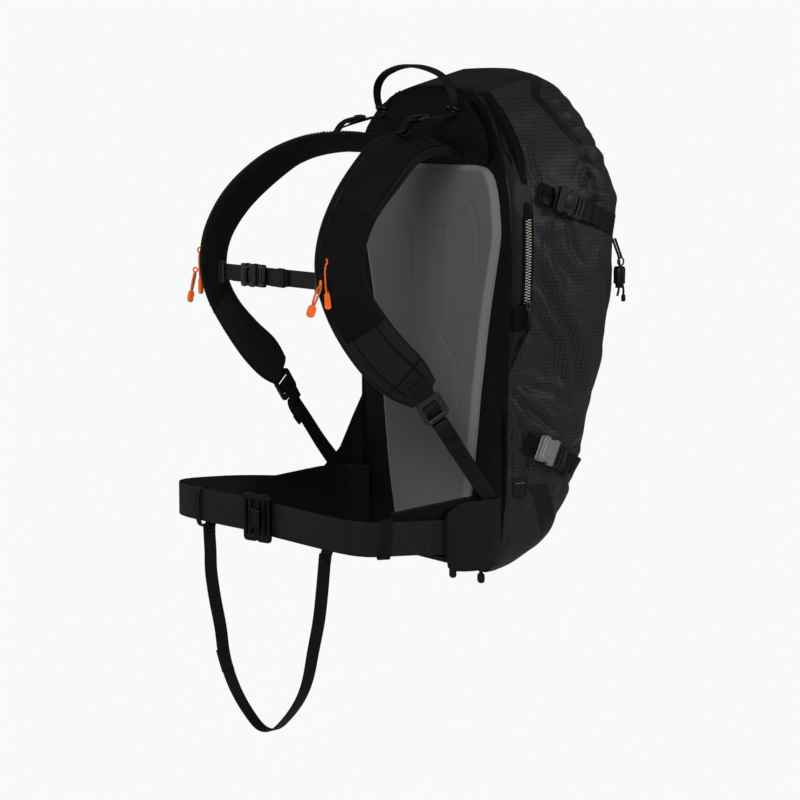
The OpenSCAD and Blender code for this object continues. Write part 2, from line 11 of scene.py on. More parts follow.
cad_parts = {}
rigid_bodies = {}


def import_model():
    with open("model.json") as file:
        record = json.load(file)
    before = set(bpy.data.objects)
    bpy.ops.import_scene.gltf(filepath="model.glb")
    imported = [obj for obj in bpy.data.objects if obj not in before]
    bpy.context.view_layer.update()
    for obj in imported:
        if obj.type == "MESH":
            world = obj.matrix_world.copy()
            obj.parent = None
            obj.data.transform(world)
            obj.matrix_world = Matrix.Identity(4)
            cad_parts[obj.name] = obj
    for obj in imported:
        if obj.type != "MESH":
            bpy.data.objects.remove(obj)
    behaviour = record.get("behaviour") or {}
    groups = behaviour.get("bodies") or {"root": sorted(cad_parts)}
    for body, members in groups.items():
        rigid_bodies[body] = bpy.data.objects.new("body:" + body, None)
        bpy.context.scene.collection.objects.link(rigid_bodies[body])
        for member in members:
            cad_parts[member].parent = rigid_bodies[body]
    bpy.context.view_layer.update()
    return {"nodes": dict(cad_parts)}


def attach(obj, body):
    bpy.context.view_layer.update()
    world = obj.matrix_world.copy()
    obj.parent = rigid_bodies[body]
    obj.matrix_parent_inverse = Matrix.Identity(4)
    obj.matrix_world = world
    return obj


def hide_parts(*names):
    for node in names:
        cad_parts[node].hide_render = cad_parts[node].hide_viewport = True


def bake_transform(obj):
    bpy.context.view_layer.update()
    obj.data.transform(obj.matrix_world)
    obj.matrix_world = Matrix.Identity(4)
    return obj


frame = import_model()

# ---------------------------------------------------------------- driving sizes, in millimetres

FOAM_T = 9            # foam thickness; the frame's origin is on its face
BAG_BASE = 267        # height of the frame's origin over the bag's base
REAR_Y = 0.6          # depth of the skin behind the back panel
ZIP_A = 24.5          # main zip's distance from the bag's rear corner
FOLD_Z = 316          # height of the fold that the front section opens about
STRAP_W = 20          # sternum and shoulder webbing
SIDE_W = 25           # compression straps on the bag's sides

# Bag sections from base to crown: height, half width, rear reach, front reach
BAG = [
    [0, 106, -60, 44], [12, 119, -60, 62], [35, 133, -60, 100], [75, 140, -60, 130],
    [140, 144, -60, 157], [250, 147, -60, 190], [320, 150, -60, 203], [400, 153, -60, 209],
    [460, 150, -60, 217], [505, 137, -60, 204], [545, 119, -52, 187], [575, 103, -34, 170],
    [595, 82, 4, 156], [608, 60, 40, 139], [619, 30, 66, 116],
]

# ---------------------------------------------------------------- points and curves


def place(points):
    """Points in the bag's own millimetres, turned into frame metres."""
    return (np.asarray(points, float) + (0, FOAM_T, -BAG_BASE)) / 1000


def curve_through(rows, steps):
    """Smooth curve through rows of numbers, with steps points to each span."""
    p = np.asarray(rows, float)
    t = np.linspace(0, 1, steps, endpoint=False)[:, None]
    spans = []
    for i in range(len(p) - 1):
        a, b, c, d = p[max(i - 1, 0)], p[i], p[i + 1], p[min(i + 2, len(p) - 1)]
        spans.append(0.5 * (2 * b + (c - a) * t + (2 * a - 5 * b + 4 * c - d) * t**2
                            + (3 * b - a - 3 * c + d) * t**3))
    return np.vstack(spans + [p[-1:]])


def lengths(points):
    """Distance along a line of points."""
    steps = np.linalg.norm(np.diff(points, axis=0), axis=1)
    return np.concatenate([[0], np.cumsum(steps)])


def even(points, step, cols=3):
    """The same line, with rows at even distances; cols of each row are its place."""
    run = lengths(points[:, :cols])
    count = max(2, int(round(run[-1] / step)) + 1)
    at = np.linspace(0, run[-1], count)
    return np.stack([np.interp(at, run, points[:, c]) for c in range(points.shape[1])], 1)


def fade(lo, hi, x):
    """Smooth step from 0 at lo to 1 at hi."""
    t = np.clip((np.asarray(x, float) - lo) / (hi - lo), 0, 1)
    return t * t * (3 - 2 * t)


def line_distance(px, py, line):
    """Distance of points (px, py) to a line of corners, and how far along it the nearest place is, 0 to 1."""
    best = np.full(np.shape(px), 1e9)
    along = np.zeros(np.shape(px))
    line = np.asarray(line, float)
    run = lengths(line)
    for i in range(len(line) - 1):
        (ax, ay), (bx, by) = line[i], line[i + 1]
        span = (bx - ax) ** 2 + (by - ay) ** 2
        t = np.clip(((px - ax) * (bx - ax) + (py - ay) * (by - ay)) / span, 0, 1)
        d = np.hypot(px - ax - t * (bx - ax), py - ay - t * (by - ay))
        nearer = d < best
        best = np.where(nearer, d, best)
        along = np.where(nearer, (run[i] + t * (run[i + 1] - run[i])) / run[-1], along)
    return best, along


def inside_distance(px, py, corners):
    """Signed distance to a polygon, positive inside it."""
    closed = list(corners) + [corners[0]]
    d, _ = line_distance(px, py, closed)
    inside = np.zeros(np.shape(px), bool)
    for (ax, ay), (bx, by) in zip(closed[:-1], closed[1:]):
        if ay == by:
            continue
        crosses = ((ay > py) != (by > py)) & (px < ax + (py - ay) * (bx - ax) / (by - ay))
        inside ^= crosses
    return np.where(inside, d, -d)


def bumpy(points, scale, seed=0):
    """Smooth noise from -1 to 1 at each point; scale is the size of its lumps."""
    shift = Vector((seed * 17.3, seed * 5.1, seed * 9.7))
    return np.array([noise.noise(Vector(p) / scale + shift) for p in points])


# ---------------------------------------------------------------- meshes


def add_mesh(name, verts, faces, material, uv=None, smooth=True):
    """Mesh object from points in bag millimetres; uv is one pair per point, in metres of cloth."""
    mesh = bpy.data.meshes.new(name)
    mesh.from_pydata(place(verts).tolist(), [], [list(map(int, f)) for f in faces])
    if uv is not None:
        corner_points = np.empty(len(mesh.loops), np.int32)
        mesh.loops.foreach_get("vertex_index", corner_points)
        layer = mesh.uv_layers.new(name="UVMap")
        layer.data.foreach_set("uv", np.asarray(uv, float)[corner_points].ravel())
    mesh.polygons.foreach_set("use_smooth", [smooth] * len(mesh.polygons))
    mesh.materials.append(material)
    mesh.update()
    obj = bpy.data.objects.new(name, mesh)
    bpy.context.collection.objects.link(obj)
    return obj


def grid_faces(rows, cols):
    """Quads between the points of a net of rows and columns."""
    index = np.arange(rows * cols).reshape(rows, cols)
    corners = [index[:-1, :-1], index[1:, :-1], index[1:, 1:], index[:-1, 1:]]
    return np.stack(corners, -1).reshape(-1, 4).tolist()


def closed_faces(rows, cols):
    """Faces of a net of closed rings, whose first and last points meet, with flat ends."""
    faces = grid_faces(rows, cols)
    faces.append(list(range(cols - 1)))
    faces.append(list(range((rows - 1) * cols, rows * cols - 1))[::-1])
    return faces


def give(obj, name, values):
    """Stores one number per point for the shader to read."""
    layer = obj.data.attributes.new(name, "FLOAT", "POINT")
    layer.data.foreach_set("value", np.asarray(values, np.float32))


def frames_along(centres, across):
    """Tangent, across and normal direction at each station of a sweep."""
    tangent = np.gradient(centres, axis=0)
    tangent /= np.linalg.norm(tangent, axis=1)[:, None]
    side = across - tangent * np.sum(across * tangent, axis=1)[:, None]
    side /= np.linalg.norm(side, axis=1)[:, None]
    return tangent, side, np.cross(tangent, side)


def sweep(name, centres, across, outline, material, capped=True):
    """Solid swept along centres; outline holds, for each station, its (across, normal) points."""
    _, side, normal = frames_along(centres, across)
    rings = np.asarray(outline, float)
    if rings.ndim == 2:
        rings = np.repeat(rings[None], len(centres), axis=0)
    rings = np.concatenate([rings, rings[:, :1]], axis=1)
    points = centres[:, None] + rings[..., :1] * side[:, None] + rings[..., 1:] * normal[:, None]
    rows, cols = rings.shape[:2]
    faces = closed_faces(rows, cols) if capped else grid_faces(rows, cols)
    run = np.repeat(lengths(centres)[:, None], cols, axis=1)
    girth = np.array([lengths(r) for r in rings])
    uv = np.stack([run, girth], -1).reshape(-1, 2) / 1000
    return add_mesh(name, points.reshape(-1, 3), faces, material, uv)


def strap_outline(width, thick, count=7):
    """Section of flat webbing with round edges."""
    r = thick / 2
    u = np.linspace(-(width / 2 - r), width / 2 - r, count)
    turns = np.radians([60, 20, -20, -60])
    edge = [(width / 2 - r + r * math.cos(a), r * math.sin(a)) for a in turns]
    return np.array([(x, r) for x in u] + edge + [(x, -r) for x in u[::-1]] + [(-x, -y) for x, y in edge])


def strap_line(stations, step):
    """Even rows through stations of point, direction across and width."""
    rows = [list(p) + list(d) + [w] for p, d, w in stations]
    return even(curve_through(rows, 12), step)


def strap(name, stations, thick, material, step=4):
    """Flat strap through stations of point, direction across and width."""
    line = strap_line(stations, step)
    outlines = np.array([strap_outline(w, thick) for w in line[:, 6]])
    return sweep(name, line[:, :3], line[:, 3:6], outlines, material)


def tube(name, points, radius, material, step=2, sides=10, smooth_steps=10):
    """Round cord through points; radius is one number or one for each given point."""
    radii = np.broadcast_to(np.asarray(radius, float), (len(points),))
    rows = np.column_stack([np.asarray(points, float), radii])
    line = even(curve_through(rows, smooth_steps), step)
    angle = np.linspace(0, -2 * math.pi, sides, endpoint=False)
    ring = np.stack([np.cos(angle), np.sin(angle)], 1)
    tangent = np.gradient(line[:, :3], axis=0)
    starts_upright = abs(tangent[0, 2]) >= 0.8 * np.linalg.norm(tangent[0])
    base = np.array([1.0, 0, 0] if starts_upright else [0.0, 0, 1])
    across = np.empty_like(tangent)
    for i, t in enumerate(tangent):
        t = t / np.linalg.norm(t)
        side = base - t * np.dot(base, t)
        across[i] = side / np.linalg.norm(side)
        base = across[i]
    return sweep(name, line[:, :3], across, ring[None] * line[:, 3][:, None, None], material)


def piping(name, points, radius, material, step=4, sides=8):
    """Cord through points that already lie close together."""
    return tube(name, points, radius, material, step=step, sides=sides, smooth_steps=1)


def join(name, parts):
    """Several mesh objects made into one, which keeps all their materials."""
    for obj in bpy.context.view_layer.objects:
        obj.select_set(False)
    for part in parts:
        part.select_set(True)
    bpy.context.view_layer.objects.active = parts[0]
    if len(parts) > 1:
        bpy.ops.object.join()
    parts[0].name = name
    return parts[0]


def cut_plate(name, outlines, thick, bevel, material, matrix):
    """Flat plate from closed outlines; inner ones are holes. matrix places it, in bag millimetres."""
    curve = bpy.data.curves.new(name, "CURVE")
    curve.dimensions = "2D"
    curve.fill_mode = "BOTH"
    curve.extrude = thick / 2 - bevel
    curve.bevel_depth = bevel
    curve.bevel_resolution = 2
    for corners in outlines:
        spline = curve.splines.new("POLY")
        spline.points.add(len(corners) - 1)
        spline.points.foreach_set("co", [v for x, y in corners for v in (x, y, 0, 1)])
        spline.use_cyclic_u = True
    holder = bpy.data.objects.new(name + "_outline", curve)
    bpy.context.collection.objects.link(holder)
    graph = bpy.context.evaluated_depsgraph_get()
    mesh = bpy.data.meshes.new_from_object(holder.evaluated_get(graph))
    bpy.data.objects.remove(holder)
    bpy.data.curves.remove(curve)
    verts = np.array([(matrix @ v.co)[:] for v in mesh.vertices])
    faces = [list(p.vertices) for p in mesh.polygons]
    bpy.data.meshes.remove(mesh)
    return add_mesh(name, verts, faces, material, uv=verts[:, :2] / 1000, smooth=False)


def rounded(width, height, radius, cx=0.0, cy=0.0, steps=5):
    """Corners of a rectangle with round corners."""
    corners = []
    for k, (sx, sy) in enumerate([(1, 1), (-1, 1), (-1, -1), (1, -1)]):
        for i in range(steps + 1):
            a = math.radians(90 * k + 90 * i / steps)
            corners.append((cx + sx * (width / 2 - radius) + radius * math.cos(a),
                            cy + sy * (height / 2 - radius) + radius * math.sin(a)))
    return corners


def block(name, size, radius, material, matrix, taper=1.0):
    """Box with round edges; matrix places it, in bag millimetres."""
    bm = bmesh.new()
    bmesh.ops.create_cube(bm, size=1)
    for v in bm.verts:
        shrink = taper if v.co.x > 0 else 1.0
        v.co = Vector((v.co.x * size[0], v.co.y * size[1] * shrink, v.co.z * size[2] * shrink))
    bmesh.ops.bevel(bm, geom=bm.edges[:], offset=radius, segments=3, profile=0.5, affect="EDGES")
    verts = np.array([(matrix @ v.co)[:] for v in bm.verts])
    bm.verts.index_update()
    faces = [[v.index for v in f.verts] for f in bm.faces]
    bm.free()
    return add_mesh(name, verts, faces, material, uv=verts[:, :2] / 1000)


def axes(origin, x, y):
    """Matrix with its X and Y near the given directions, at origin."""
    ex = Vector(x).normalized()
    ey = Vector(y)
    ey = (ey - ex * ey.dot(ex)).normalized()
    ez = ex.cross(ey)
    turn = Matrix((ex, ey, ez)).transposed().to_4x4()
    return Matrix.Translation(Vector(origin)) @ turn


def seat_at(where, z=0.0, y=0.0, x=0.0):
    """Matrix that turns by degrees about X, then Y, then Z, and moves to a place."""
    turns = [Matrix.Rotation(math.radians(angle), 4, axis) for angle, axis in ((z, "Z"), (y, "Y"), (x, "X"))]
    return Matrix.Translation(where) @ turns[0] @ turns[1] @ turns[2]


def at_matrix(matrix, points):
    """Points carried by a matrix."""
    return np.array([(matrix @ Vector(p))[:] for p in points])


def loaf(rows, steps, count, power_x, power_y):
    """Squarish rings through rows of height, half width, rear reach and front reach."""
    turn = np.radians(np.linspace(0, 360, count))
    c, s = np.cos(turn), np.sin(turn)
    shape_x = np.sign(c) * np.abs(c) ** power_x
    shape_y = np.sign(s) * np.abs(s) ** power_y
    return np.array([
        np.stack([w * shape_x, (rear + front) / 2 + (front - rear) / 2 * shape_y, np.full(count, z)], 1)
        for z, w, rear, front in curve_through(rows, steps)
    ])


def fit(obj, body, replaces=()):
    """Joins a finished piece to its body and hides the imported parts that it stands for."""
    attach(obj, body)
    if replaces:
        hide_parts(*replaces)
    return obj


def twin(obj, name, body, replaces=()):
    """The same piece on the bag's right side."""
    mesh = obj.data.copy()
    mesh.transform(Matrix.Diagonal((-1, 1, 1, 1)))
    mesh.flip_normals()
    mesh.name = name
    other = bpy.data.objects.new(name, mesh)
    bpy.context.collection.objects.link(other)
    return fit(other, body, replaces)


def right_of(name):
    """Name of the same thing on the right side."""
    return name.replace("left_", "right_")


def pair(obj, body, replaces=()):
    """Fits a left piece and its twin, which stands only for nodes that have a right side of their own."""
    fit(obj, body, replaces)
    right_nodes = [right_of(node) for node in replaces if right_of(node) != node]
    twin(obj, right_of(obj.name), right_of(body), right_nodes)


# ---------------------------------------------------------------- materials


def tone(r, g, b):
    """Colour given as the 0 to 255 values seen on a screen."""
    linear = [((c / 255 + 0.055) / 1.055) ** 2.4 if c > 10.3 else c / 255 / 12.92 for c in (r, g, b)]
    return (*linear, 1.0)


class Finish:
    """One procedural material, with short ways to add its nodes."""

    def __init__(self, name, colour, roughness, metallic=0.0, sheen=0.0, specular=0.5, coat=0.0):
        self.material = bpy.data.materials.new(name)
        self.material.use_nodes = True
        self.tree = self.material.node_tree
        self.shader = self.tree.nodes["Principled BSDF"]
        settings = {
            "Base Color": colour, "Roughness": roughness, "Metallic": metallic,
            "Specular IOR Level": specular, "Sheen Weight": sheen, "Sheen Roughness": 0.45,
            "Coat Weight": coat, "Coat Roughness": 0.12,
        }
        for key, value in settings.items():
            self.shader.inputs[key].default_value = value

    def add(self, kind, inputs=(), **settings):
        """New node; inputs are numbers, colours or sockets by name or place."""
        node = self.tree.nodes.new(kind)
        for key, value in settings.items():
            setattr(node, key, value)
        for key, value in dict(inputs).items():
            self.feed(node.inputs[key], value)
        return node

    def feed(self, socket, value):
        """Links a socket or sets a plain value."""
        if isinstance(value, bpy.types.NodeSocket):
            self.tree.links.new(value, socket)
        else:
            socket.default_value = value

    def sum(self, how, a, b=0.0, c=None):
        """Arithmetic node."""
        node = self.add("ShaderNodeMath", {0: a, 1: b}, operation=how)
        if c is not None:
            self.feed(node.inputs[2], c)
        return node.outputs[0]

    def cloth_axes(self):
        """The piece's own cloth coordinates, in metres along and across."""
        split = self.add("ShaderNodeSeparateXYZ", {0: self.add("ShaderNodeUVMap", uv_map="UVMap").outputs[0]})
        return split.outputs[0], split.outputs[1]

    def number(self, name):
        """A number stored on the mesh's points."""
        return self.add("ShaderNodeAttribute", attribute_name=name).outputs["Fac"]

    def ripple(self, axis, pitch):
        """Soft wave along one cloth axis, from 0 to 1, one ridge to each pitch in millimetres."""
        turned = self.sum("MULTIPLY", axis, 2 * math.pi * 1000 / pitch)
        return self.sum("MULTIPLY_ADD", self.sum("SINE", turned), 0.5, 0.5)

    def ridge(self, axis, pitch, share):
        """Thin line at each pitch: 1 on the line, 0 off it; share is the line's share of the pitch."""
        step = self.sum("FRACT", self.sum("MULTIPLY", axis, 1000 / pitch))
        return self.sum("LESS_THAN", step, share)

    def grain(self, size, detail=2.0):
        """Noise by place, size in millimetres."""
        where = self.add("ShaderNodeTexCoord").outputs["Object"]
        inputs = {"Vector": where, "Scale": 1000 / size, "Detail": detail}
        return self.add("ShaderNodeTexNoise", inputs).outputs[0]

    def mix(self, share, a, b):
        """Colour mix by share."""
        node = self.add("ShaderNodeMix", data_type="RGBA")
        self.feed(node.inputs[0], share)
        self.feed(node.inputs[6], a)
        self.feed(node.inputs[7], b)
        return node.outputs[2]

    def paint(self, colour):
        """Sets the piece's colour."""
        self.feed(self.shader.inputs["Base Color"], colour)

    def relief(self, height, depth, strength=1.0):
        """Bump from a height of 0 to 1 that stands for depth millimetres."""
        before = self.shader.inputs["Normal"].links
        node = self.add("ShaderNodeBump", {"Height": height, "Distance": depth / 1000, "Strength": strength})
        if before:
            self.tree.links.new(before[0].from_socket, node.inputs["Normal"])
        self.tree.links.new(node.outputs[0], self.shader.inputs["Normal"])


def soft_cloth(name, colour, sheen=0.01, grain=6.0):
    """Plain close-woven black cloth."""
    f = Finish(name, colour, 0.7, sheen=sheen, specular=0.06)
    along, across = f.cloth_axes()
    f.relief(f.sum("MULTIPLY", f.ripple(along, 0.9), f.ripple(across, 0.9)), 0.12, 0.6)
    f.relief(f.grain(grain, 3.0), 0.6, 0.35)
    return f.material


def grid_cloth(name, colour, line_colour, pitch=4.2):
    """Ripstop: fine cloth with a square grid of thicker threads."""
    f = Finish(name, colour, 0.6, sheen=0.01, specular=0.1)
    along, across = f.cloth_axes()
    lines = f.sum("MAXIMUM", f.ridge(along, pitch, 0.2), f.ridge(across, pitch, 0.2))
    f.paint(f.mix(lines, colour, line_colour))
    f.relief(lines, 0.25, 0.8)
    return f.material


def woven_strap(name, colour, pitch=2.0):
    """Webbing, close-woven with ribs both ways, with painted shade in the weave's hollows."""
    f = Finish(name, colour, 0.55, sheen=0.01, specular=0.1)
    along, across = f.cloth_axes()
    weave = f.sum("MULTIPLY", f.ripple(along, pitch), f.ripple(across, pitch * 1.4))
    # painted shade: the weave's hollows are painted darker, in step with the bump
    dark = tuple(0.55 * v for v in colour[:3]) + (1.0,)
    f.paint(f.mix(weave, dark, colour))
    f.relief(weave, 0.25, 0.6)
    return f.material


def hard_plastic(name, colour, roughness=0.42, coat=0.0):
    """Moulded plastic with a faint grain."""
    f = Finish(name, colour, roughness, specular=0.2, coat=coat)
    f.relief(f.grain(0.7), 0.05, 0.25)
    return f.material


smooth_cloth = soft_cloth("smooth_fabric_look", tone(8, 8, 8))
pad_cloth = soft_cloth("pad_fabric_look", tone(11, 11, 12))
panel_cloth = soft_cloth("pad_panel_look", tone(26, 26, 27))
ripstop = grid_cloth("ripstop_look", tone(22, 20, 23), tone(11, 10, 12))
webbing = woven_strap("webbing_look", tone(17, 17, 17))
belt_web = woven_strap("belt_webbing_look", tone(27, 27, 27), pitch=2.2)
elastic = woven_strap("elastic_look", tone(13, 13, 13), pitch=1.5)
black_plastic = hard_plastic("black_plastic_look", tone(6, 6, 7))
grey_plastic = hard_plastic("grey_plastic_look", tone(110, 109, 107), 0.3, 0.25)
orange_plastic = hard_plastic("orange_plastic_look", tone(236, 104, 34), 0.4, 0.1)
orange_cord = woven_strap("orange_cord_look", tone(238, 120, 50), pitch=1.2)
dark_metal = Finish("dark_metal_look", tone(22, 22, 23), 0.33, metallic=0.4, coat=0.12).material
black_gloss = Finish("black_gloss_look", tone(2, 2, 3), 0.3, specular=0.12).material
steel = Finish("steel_look", tone(150, 150, 150), 0.3, metallic=1.0).material
aluminium = Finish("aluminium_look", tone(190, 190, 192), 0.35, metallic=1.0).material
thread = Finish("thread_look", tone(27, 27, 27), 0.7).material

# ---------------------------------------------------------------- bag skin

BAG_CURVE = curve_through(BAG, 8)
SKIN_TOP = 618        # highest place at which the cloth's direction is still taken
SIDE_TOP = 590        # height up to which the left side always faces left


def section(z):
    """Half of the bag's outline at height z, from the front centre round to the rear centre."""
    half_width, rear, front = (np.interp(z, BAG_CURVE[:, 0], BAG_CURVE[:, k]) for k in (1, 2, 3))
    turn = np.radians(np.linspace(90, -90, 361))
    mid, reach = (rear + front) / 2, (front - rear) / 2
    x = half_width * np.sqrt(np.abs(np.cos(turn)))
    y = mid + reach * np.sign(np.sin(turn)) * np.sqrt(np.abs(np.sin(turn)))
    corner_y = max(REAR_Y + 0.01, rear + 0.12 * (front - rear))
    corner = int(np.argmax(y <= corner_y))
    return np.stack([x, np.maximum(y, REAR_Y)], 1), corner


def bag_point(a, z):
    """Place on the bag's left side at distance a forward of its rear corner, height z."""
    outline, corner = section(z)
    run = lengths(outline)
    at = run[corner] - a
    return np.array([np.interp(at, run, outline[:, 0]), np.interp(at, run, outline[:, 1]), z])


def on_bag(a, z, lift=0.0):
    """Place on the bag's left side, raised off the cloth by lift, and the cloth's outward direction."""
    here = bag_point(a, z)
    forward = bag_point(a + 2, z) - bag_point(a - 2, z)
    upward = bag_point(a, min(z + 2, SKIN_TOP)) - bag_point(a, z - 2)
    out = np.cross(forward, upward)
    out /= -np.linalg.norm(out)
    if out[0] < 0 and z < SIDE_TOP:
        out = -out
    return here + out * lift, out


# Cloth panels and lines on the bag, as distance from the rear corner and height
RIPSTOP_PANEL = [
    (30, 318), (31, 420), (31, 505), (27, 545), (20, 572), (12, 592), (40, 603), (400, 606), (400, -40),
    (-8, -40), (-8, 244), (31, 306),
]
CREST_BAND = 6.5      # half width of the smooth band along the crest
CORNER_PANEL = [(33, 112), (46, 92), (56, 70), (66, 42), (80, 4), (118, 4), (98, 44), (78, 84), (66, 112)]
CREST_SEAM = [(60, 612), (71, 604), (91, 575), (110, 548), (127, 528), (136, 500), (139, 470), (138, 446)]
SEAMS = [
    [(31, 306), (15, 280), (-2, 246)],
    [(33, 112), (46, 92), (56, 70), (66, 42), (80, 4)],
    [(66, 112), (78, 84), (98, 44), (118, 4)],
    [(141, 409), (147, 360), (154, 296), (150, 200), (140, 120), (132, 30)],
    [(106, 440), (124, 428), (141, 409)],
    [(-2, 225), (12, 160), (14, 60), (8, 6)],
]
# Folds in the cloth: line of places, half width and depth
FOLDS = [
    ([(30, 390), (60, 348), (98, 300), (118, 240), (124, 205)], 9, 4.8),
    ([(28, 360), (48, 320), (74, 280), (92, 226)], 7, 3.4),
    ([(34, 430), (66, 396), (104, 350)], 8, 2.0),
    ([(-4, 232), (24, 214), (52, 194), (86, 172)], 6, 3.4),
    ([(-4, 226), (18, 196), (36, 160)], 5, 3.0),
    ([(-4, 220), (8, 190), (14, 150)], 4, 2.4),
    ([(2, 236), (36, 236), (78, 222), (116, 190)], 6, 2.2),
    ([(20, 300), (12, 268), (-2, 236)], 5, 2.4),
    ([(44, 150), (30, 120), (16, 80)], 6, 2.2),
    ([(90, 138), (120, 150), (150, 158)], 7, 2.4),
    ([(86, 128), (112, 112), (140, 96)], 7, 2.2),
    ([(92, 108), (104, 70), (108, 30)], 8, 2.4),
    ([(60, 440), (52, 400), (44, 372)], 6, 1.8),
    ([(86, 436), (98, 404), (112, 372)], 6, 2.0),
    ([(52, 474), (44, 500), (38, 530)], 6, 1.8),
    ([(112, 470), (124, 490), (140, 498)], 6, 2.4),
    ([(120, 452), (148, 452), (176, 446)], 7, 2.6),
    ([(136, 520), (158, 508), (196, 490)], 7, 2.7),
    ([(126, 540), (156, 532), (200, 512)], 6, 2.8),
    ([(114, 558), (142, 556), (184, 542)], 6, 2.0),
    ([(102, 576), (128, 574), (166, 562)], 6, 2.2),
    ([(90, 592), (118, 589), (150, 580)], 6, 1.4),
    ([(150, 400), (170, 360), (174, 310)], 8, 2.2),
    ([(150, 280), (164, 230), (160, 180)], 8, 2.4),
    ([(190, 480), (240, 470), (300, 474)], 10, 2.6),
    ([(200, 260), (250, 240), (310, 236)], 10, 2.6),
    ([(196, 120), (250, 96), (310, 100)], 10, 2.6),
]
# Dimples where straps and seams draw the cloth in: place, reach and depth
PINCHES = [
    ((-3, 224), 16, 3.2), ((48, 450), 14, 2.2), ((128, 450), 14, 2.6), ((40, 144), 14, 2.4),
    ((96, 138), 14, 2.2), ((10, 136), 11, 2.4), ((30, 548), 14, 1.4),
]


def cloth_relief(a, z, x, side):
    """How far the cloth stands in or out at each place."""
    rise = np.zeros(len(a))
    drift = bumpy(np.stack([a, z, np.full(len(a), 40.0 * side)], 1), 45, 3) * 5
    for line, width, depth in FOLDS:
        d, along = line_distance(a + drift, z + drift, line)
        ends = fade(0, 0.18, along) * fade(1, 0.75, along)
        rise -= 1.35 * depth * ends * np.exp(-((d / width * 1.5) ** 1.4))
        rise += 0.7 * depth * ends * np.exp(-((d - 1.8 * width) / width) ** 2)
    for (pa, pz), reach, depth in PINCHES:
        rise -= depth * np.exp(-(np.hypot(a - pa, z - pz) / reach) ** 2)
    broad = np.stack([a * 0.8, z * 0.7, np.full(len(a), 90.0 * side)], 1)
    rise += 1.8 * bumpy(broad, 34, 1) + 0.8 * bumpy(broad, 13, 2)
    zip_calm = 1 - 0.85 * np.exp(-(((a - ZIP_A) / 11) ** 2)) * fade(300, 318, z)
    flat_back = fade(-6, 8, a) * zip_calm
    return rise * flat_back * fade(-4, 14, z) * fade(0, 12, np.abs(x))


# Columns of the skin's net: across half the back, from there to the zip, and on to the front's middle
BEHIND, BESIDE, AHEAD = 12, 8, 105
CROWN_SPLIT = 603               # height at which the zip line crosses the back of the crown


def zip_place(outline, run, corner, z):
    """Distance round the bag from its rear corner to the zip line, which bends inward over the crown."""
    side_y = outline[:corner + 1, 1][::-1]
    crossing = run[corner] - float(np.interp(ZIP_A, side_y, run[:corner + 1][::-1]))
    over = float(fade(545, 566, z))
    return max(1.5, ZIP_A + (crossing - ZIP_A) * over)


def bag_skin():
    """Whole cloth of the bag as one net of points, kept with its cloth places."""
    crown_heights = [600, 603, 606, 609, 612, 614.5, 617, 619]
    heights = np.concatenate([[0.6, 2, 4, 7], np.arange(10, 600, 3.0), crown_heights])
    rear_share = np.linspace(1, 0, BEHIND, endpoint=False)
    rows, places = [], []
    for z in heights:
        outline, corner = section(z)
        run = lengths(outline)
        edge, whole = run[corner], run[-1]
        behind = whole - edge
        split = zip_place(outline, run, corner, z)
        at = np.concatenate([
            edge + behind * rear_share,
            edge - np.linspace(0, split, BESIDE + 1)[:-1],
            np.linspace(edge - split, 0, AHEAD),
        ])
        half = np.stack([np.interp(at, run, outline[:, 0]), np.interp(at, run, outline[:, 1])], 1)
        base_rounding = 0.5 * max(0.0, 5.0 - z)
        half -= base_rounding * np.sign(half)
        far = half[::-1][1:] * (-1, 1)
        rows.append(np.column_stack([np.vstack([half, far]), np.full(2 * len(half) - 1, z)]))
        a = edge - at
        places.append(np.concatenate([a, a[::-1][1:]]))
    net = np.array(rows)
    a = np.array(places)
    z = net[..., 2]
    forward = np.gradient(net, axis=1)
    upward = np.gradient(net, axis=0)
    out = np.cross(forward, upward)
    out /= np.maximum(np.linalg.norm(out, axis=2), 1e-6)[..., None]
    middle = net.mean(axis=1, keepdims=True)
    out *= np.sign(np.sum(out * (net - middle), axis=2, keepdims=True))
    side = np.where(net[..., 0] >= 0, 1.0, -1.0)
    rise = np.zeros(a.shape)
    for s in (1.0, -1.0):
        on_side = side == s
        rise[on_side] = cloth_relief(a[on_side], z[on_side], net[..., 0][on_side], s)
    net = net + out * rise[..., None]
    net[..., 1] = np.maximum(net[..., 1], REAR_Y)
    return net, a, z


def cloth_panels(a, z):
    """Signed distance to the ripstop panel's edge, and distance to the nearest seam."""
    from_crest, _ = line_distance(a, z, CREST_SEAM)
    panel = np.minimum(inside_distance(a, z, RIPSTOP_PANEL), -inside_distance(a, z, CORNER_PANEL))
    panel = np.minimum(panel, from_crest - CREST_BAND)
    seam = np.abs(from_crest - CREST_BAND)
    for line in SEAMS:
        seam = np.minimum(seam, line_distance(a, z, line)[0])
    return panel, seam


def bag_look():
    """Ripstop and smooth cloth on one skin, parted by the stored panel edge, with sewn seams."""
    dark, light = tone(9, 8, 9), tone(37, 33, 38)
    f = Finish("bag_skin_look", light, 0.5, sheen=0.02, specular=0.16)
    along, across = f.cloth_axes()
    lines = f.sum("MAXIMUM", f.ridge(along, 4.8, 0.22), f.ridge(across, 4.8, 0.22))
    is_ripstop = f.sum("GREATER_THAN", f.number("panel"), 0.0)
    lines = f.sum("MULTIPLY", lines, is_ripstop)
    seam = f.sum("LESS_THAN", f.number("seam"), 0.9)
    colour = f.mix(is_ripstop, dark, f.mix(lines, light, tone(15, 13, 16)))
    f.paint(f.mix(seam, colour, tone(5, 5, 5)))
    f.relief(lines, 0.25, 0.7)
    f.relief(seam, -0.8, 0.9)
    f.relief(f.grain(9, 3.0), 0.9, 0.5)
    return f.material


bag_cloth = bag_look()


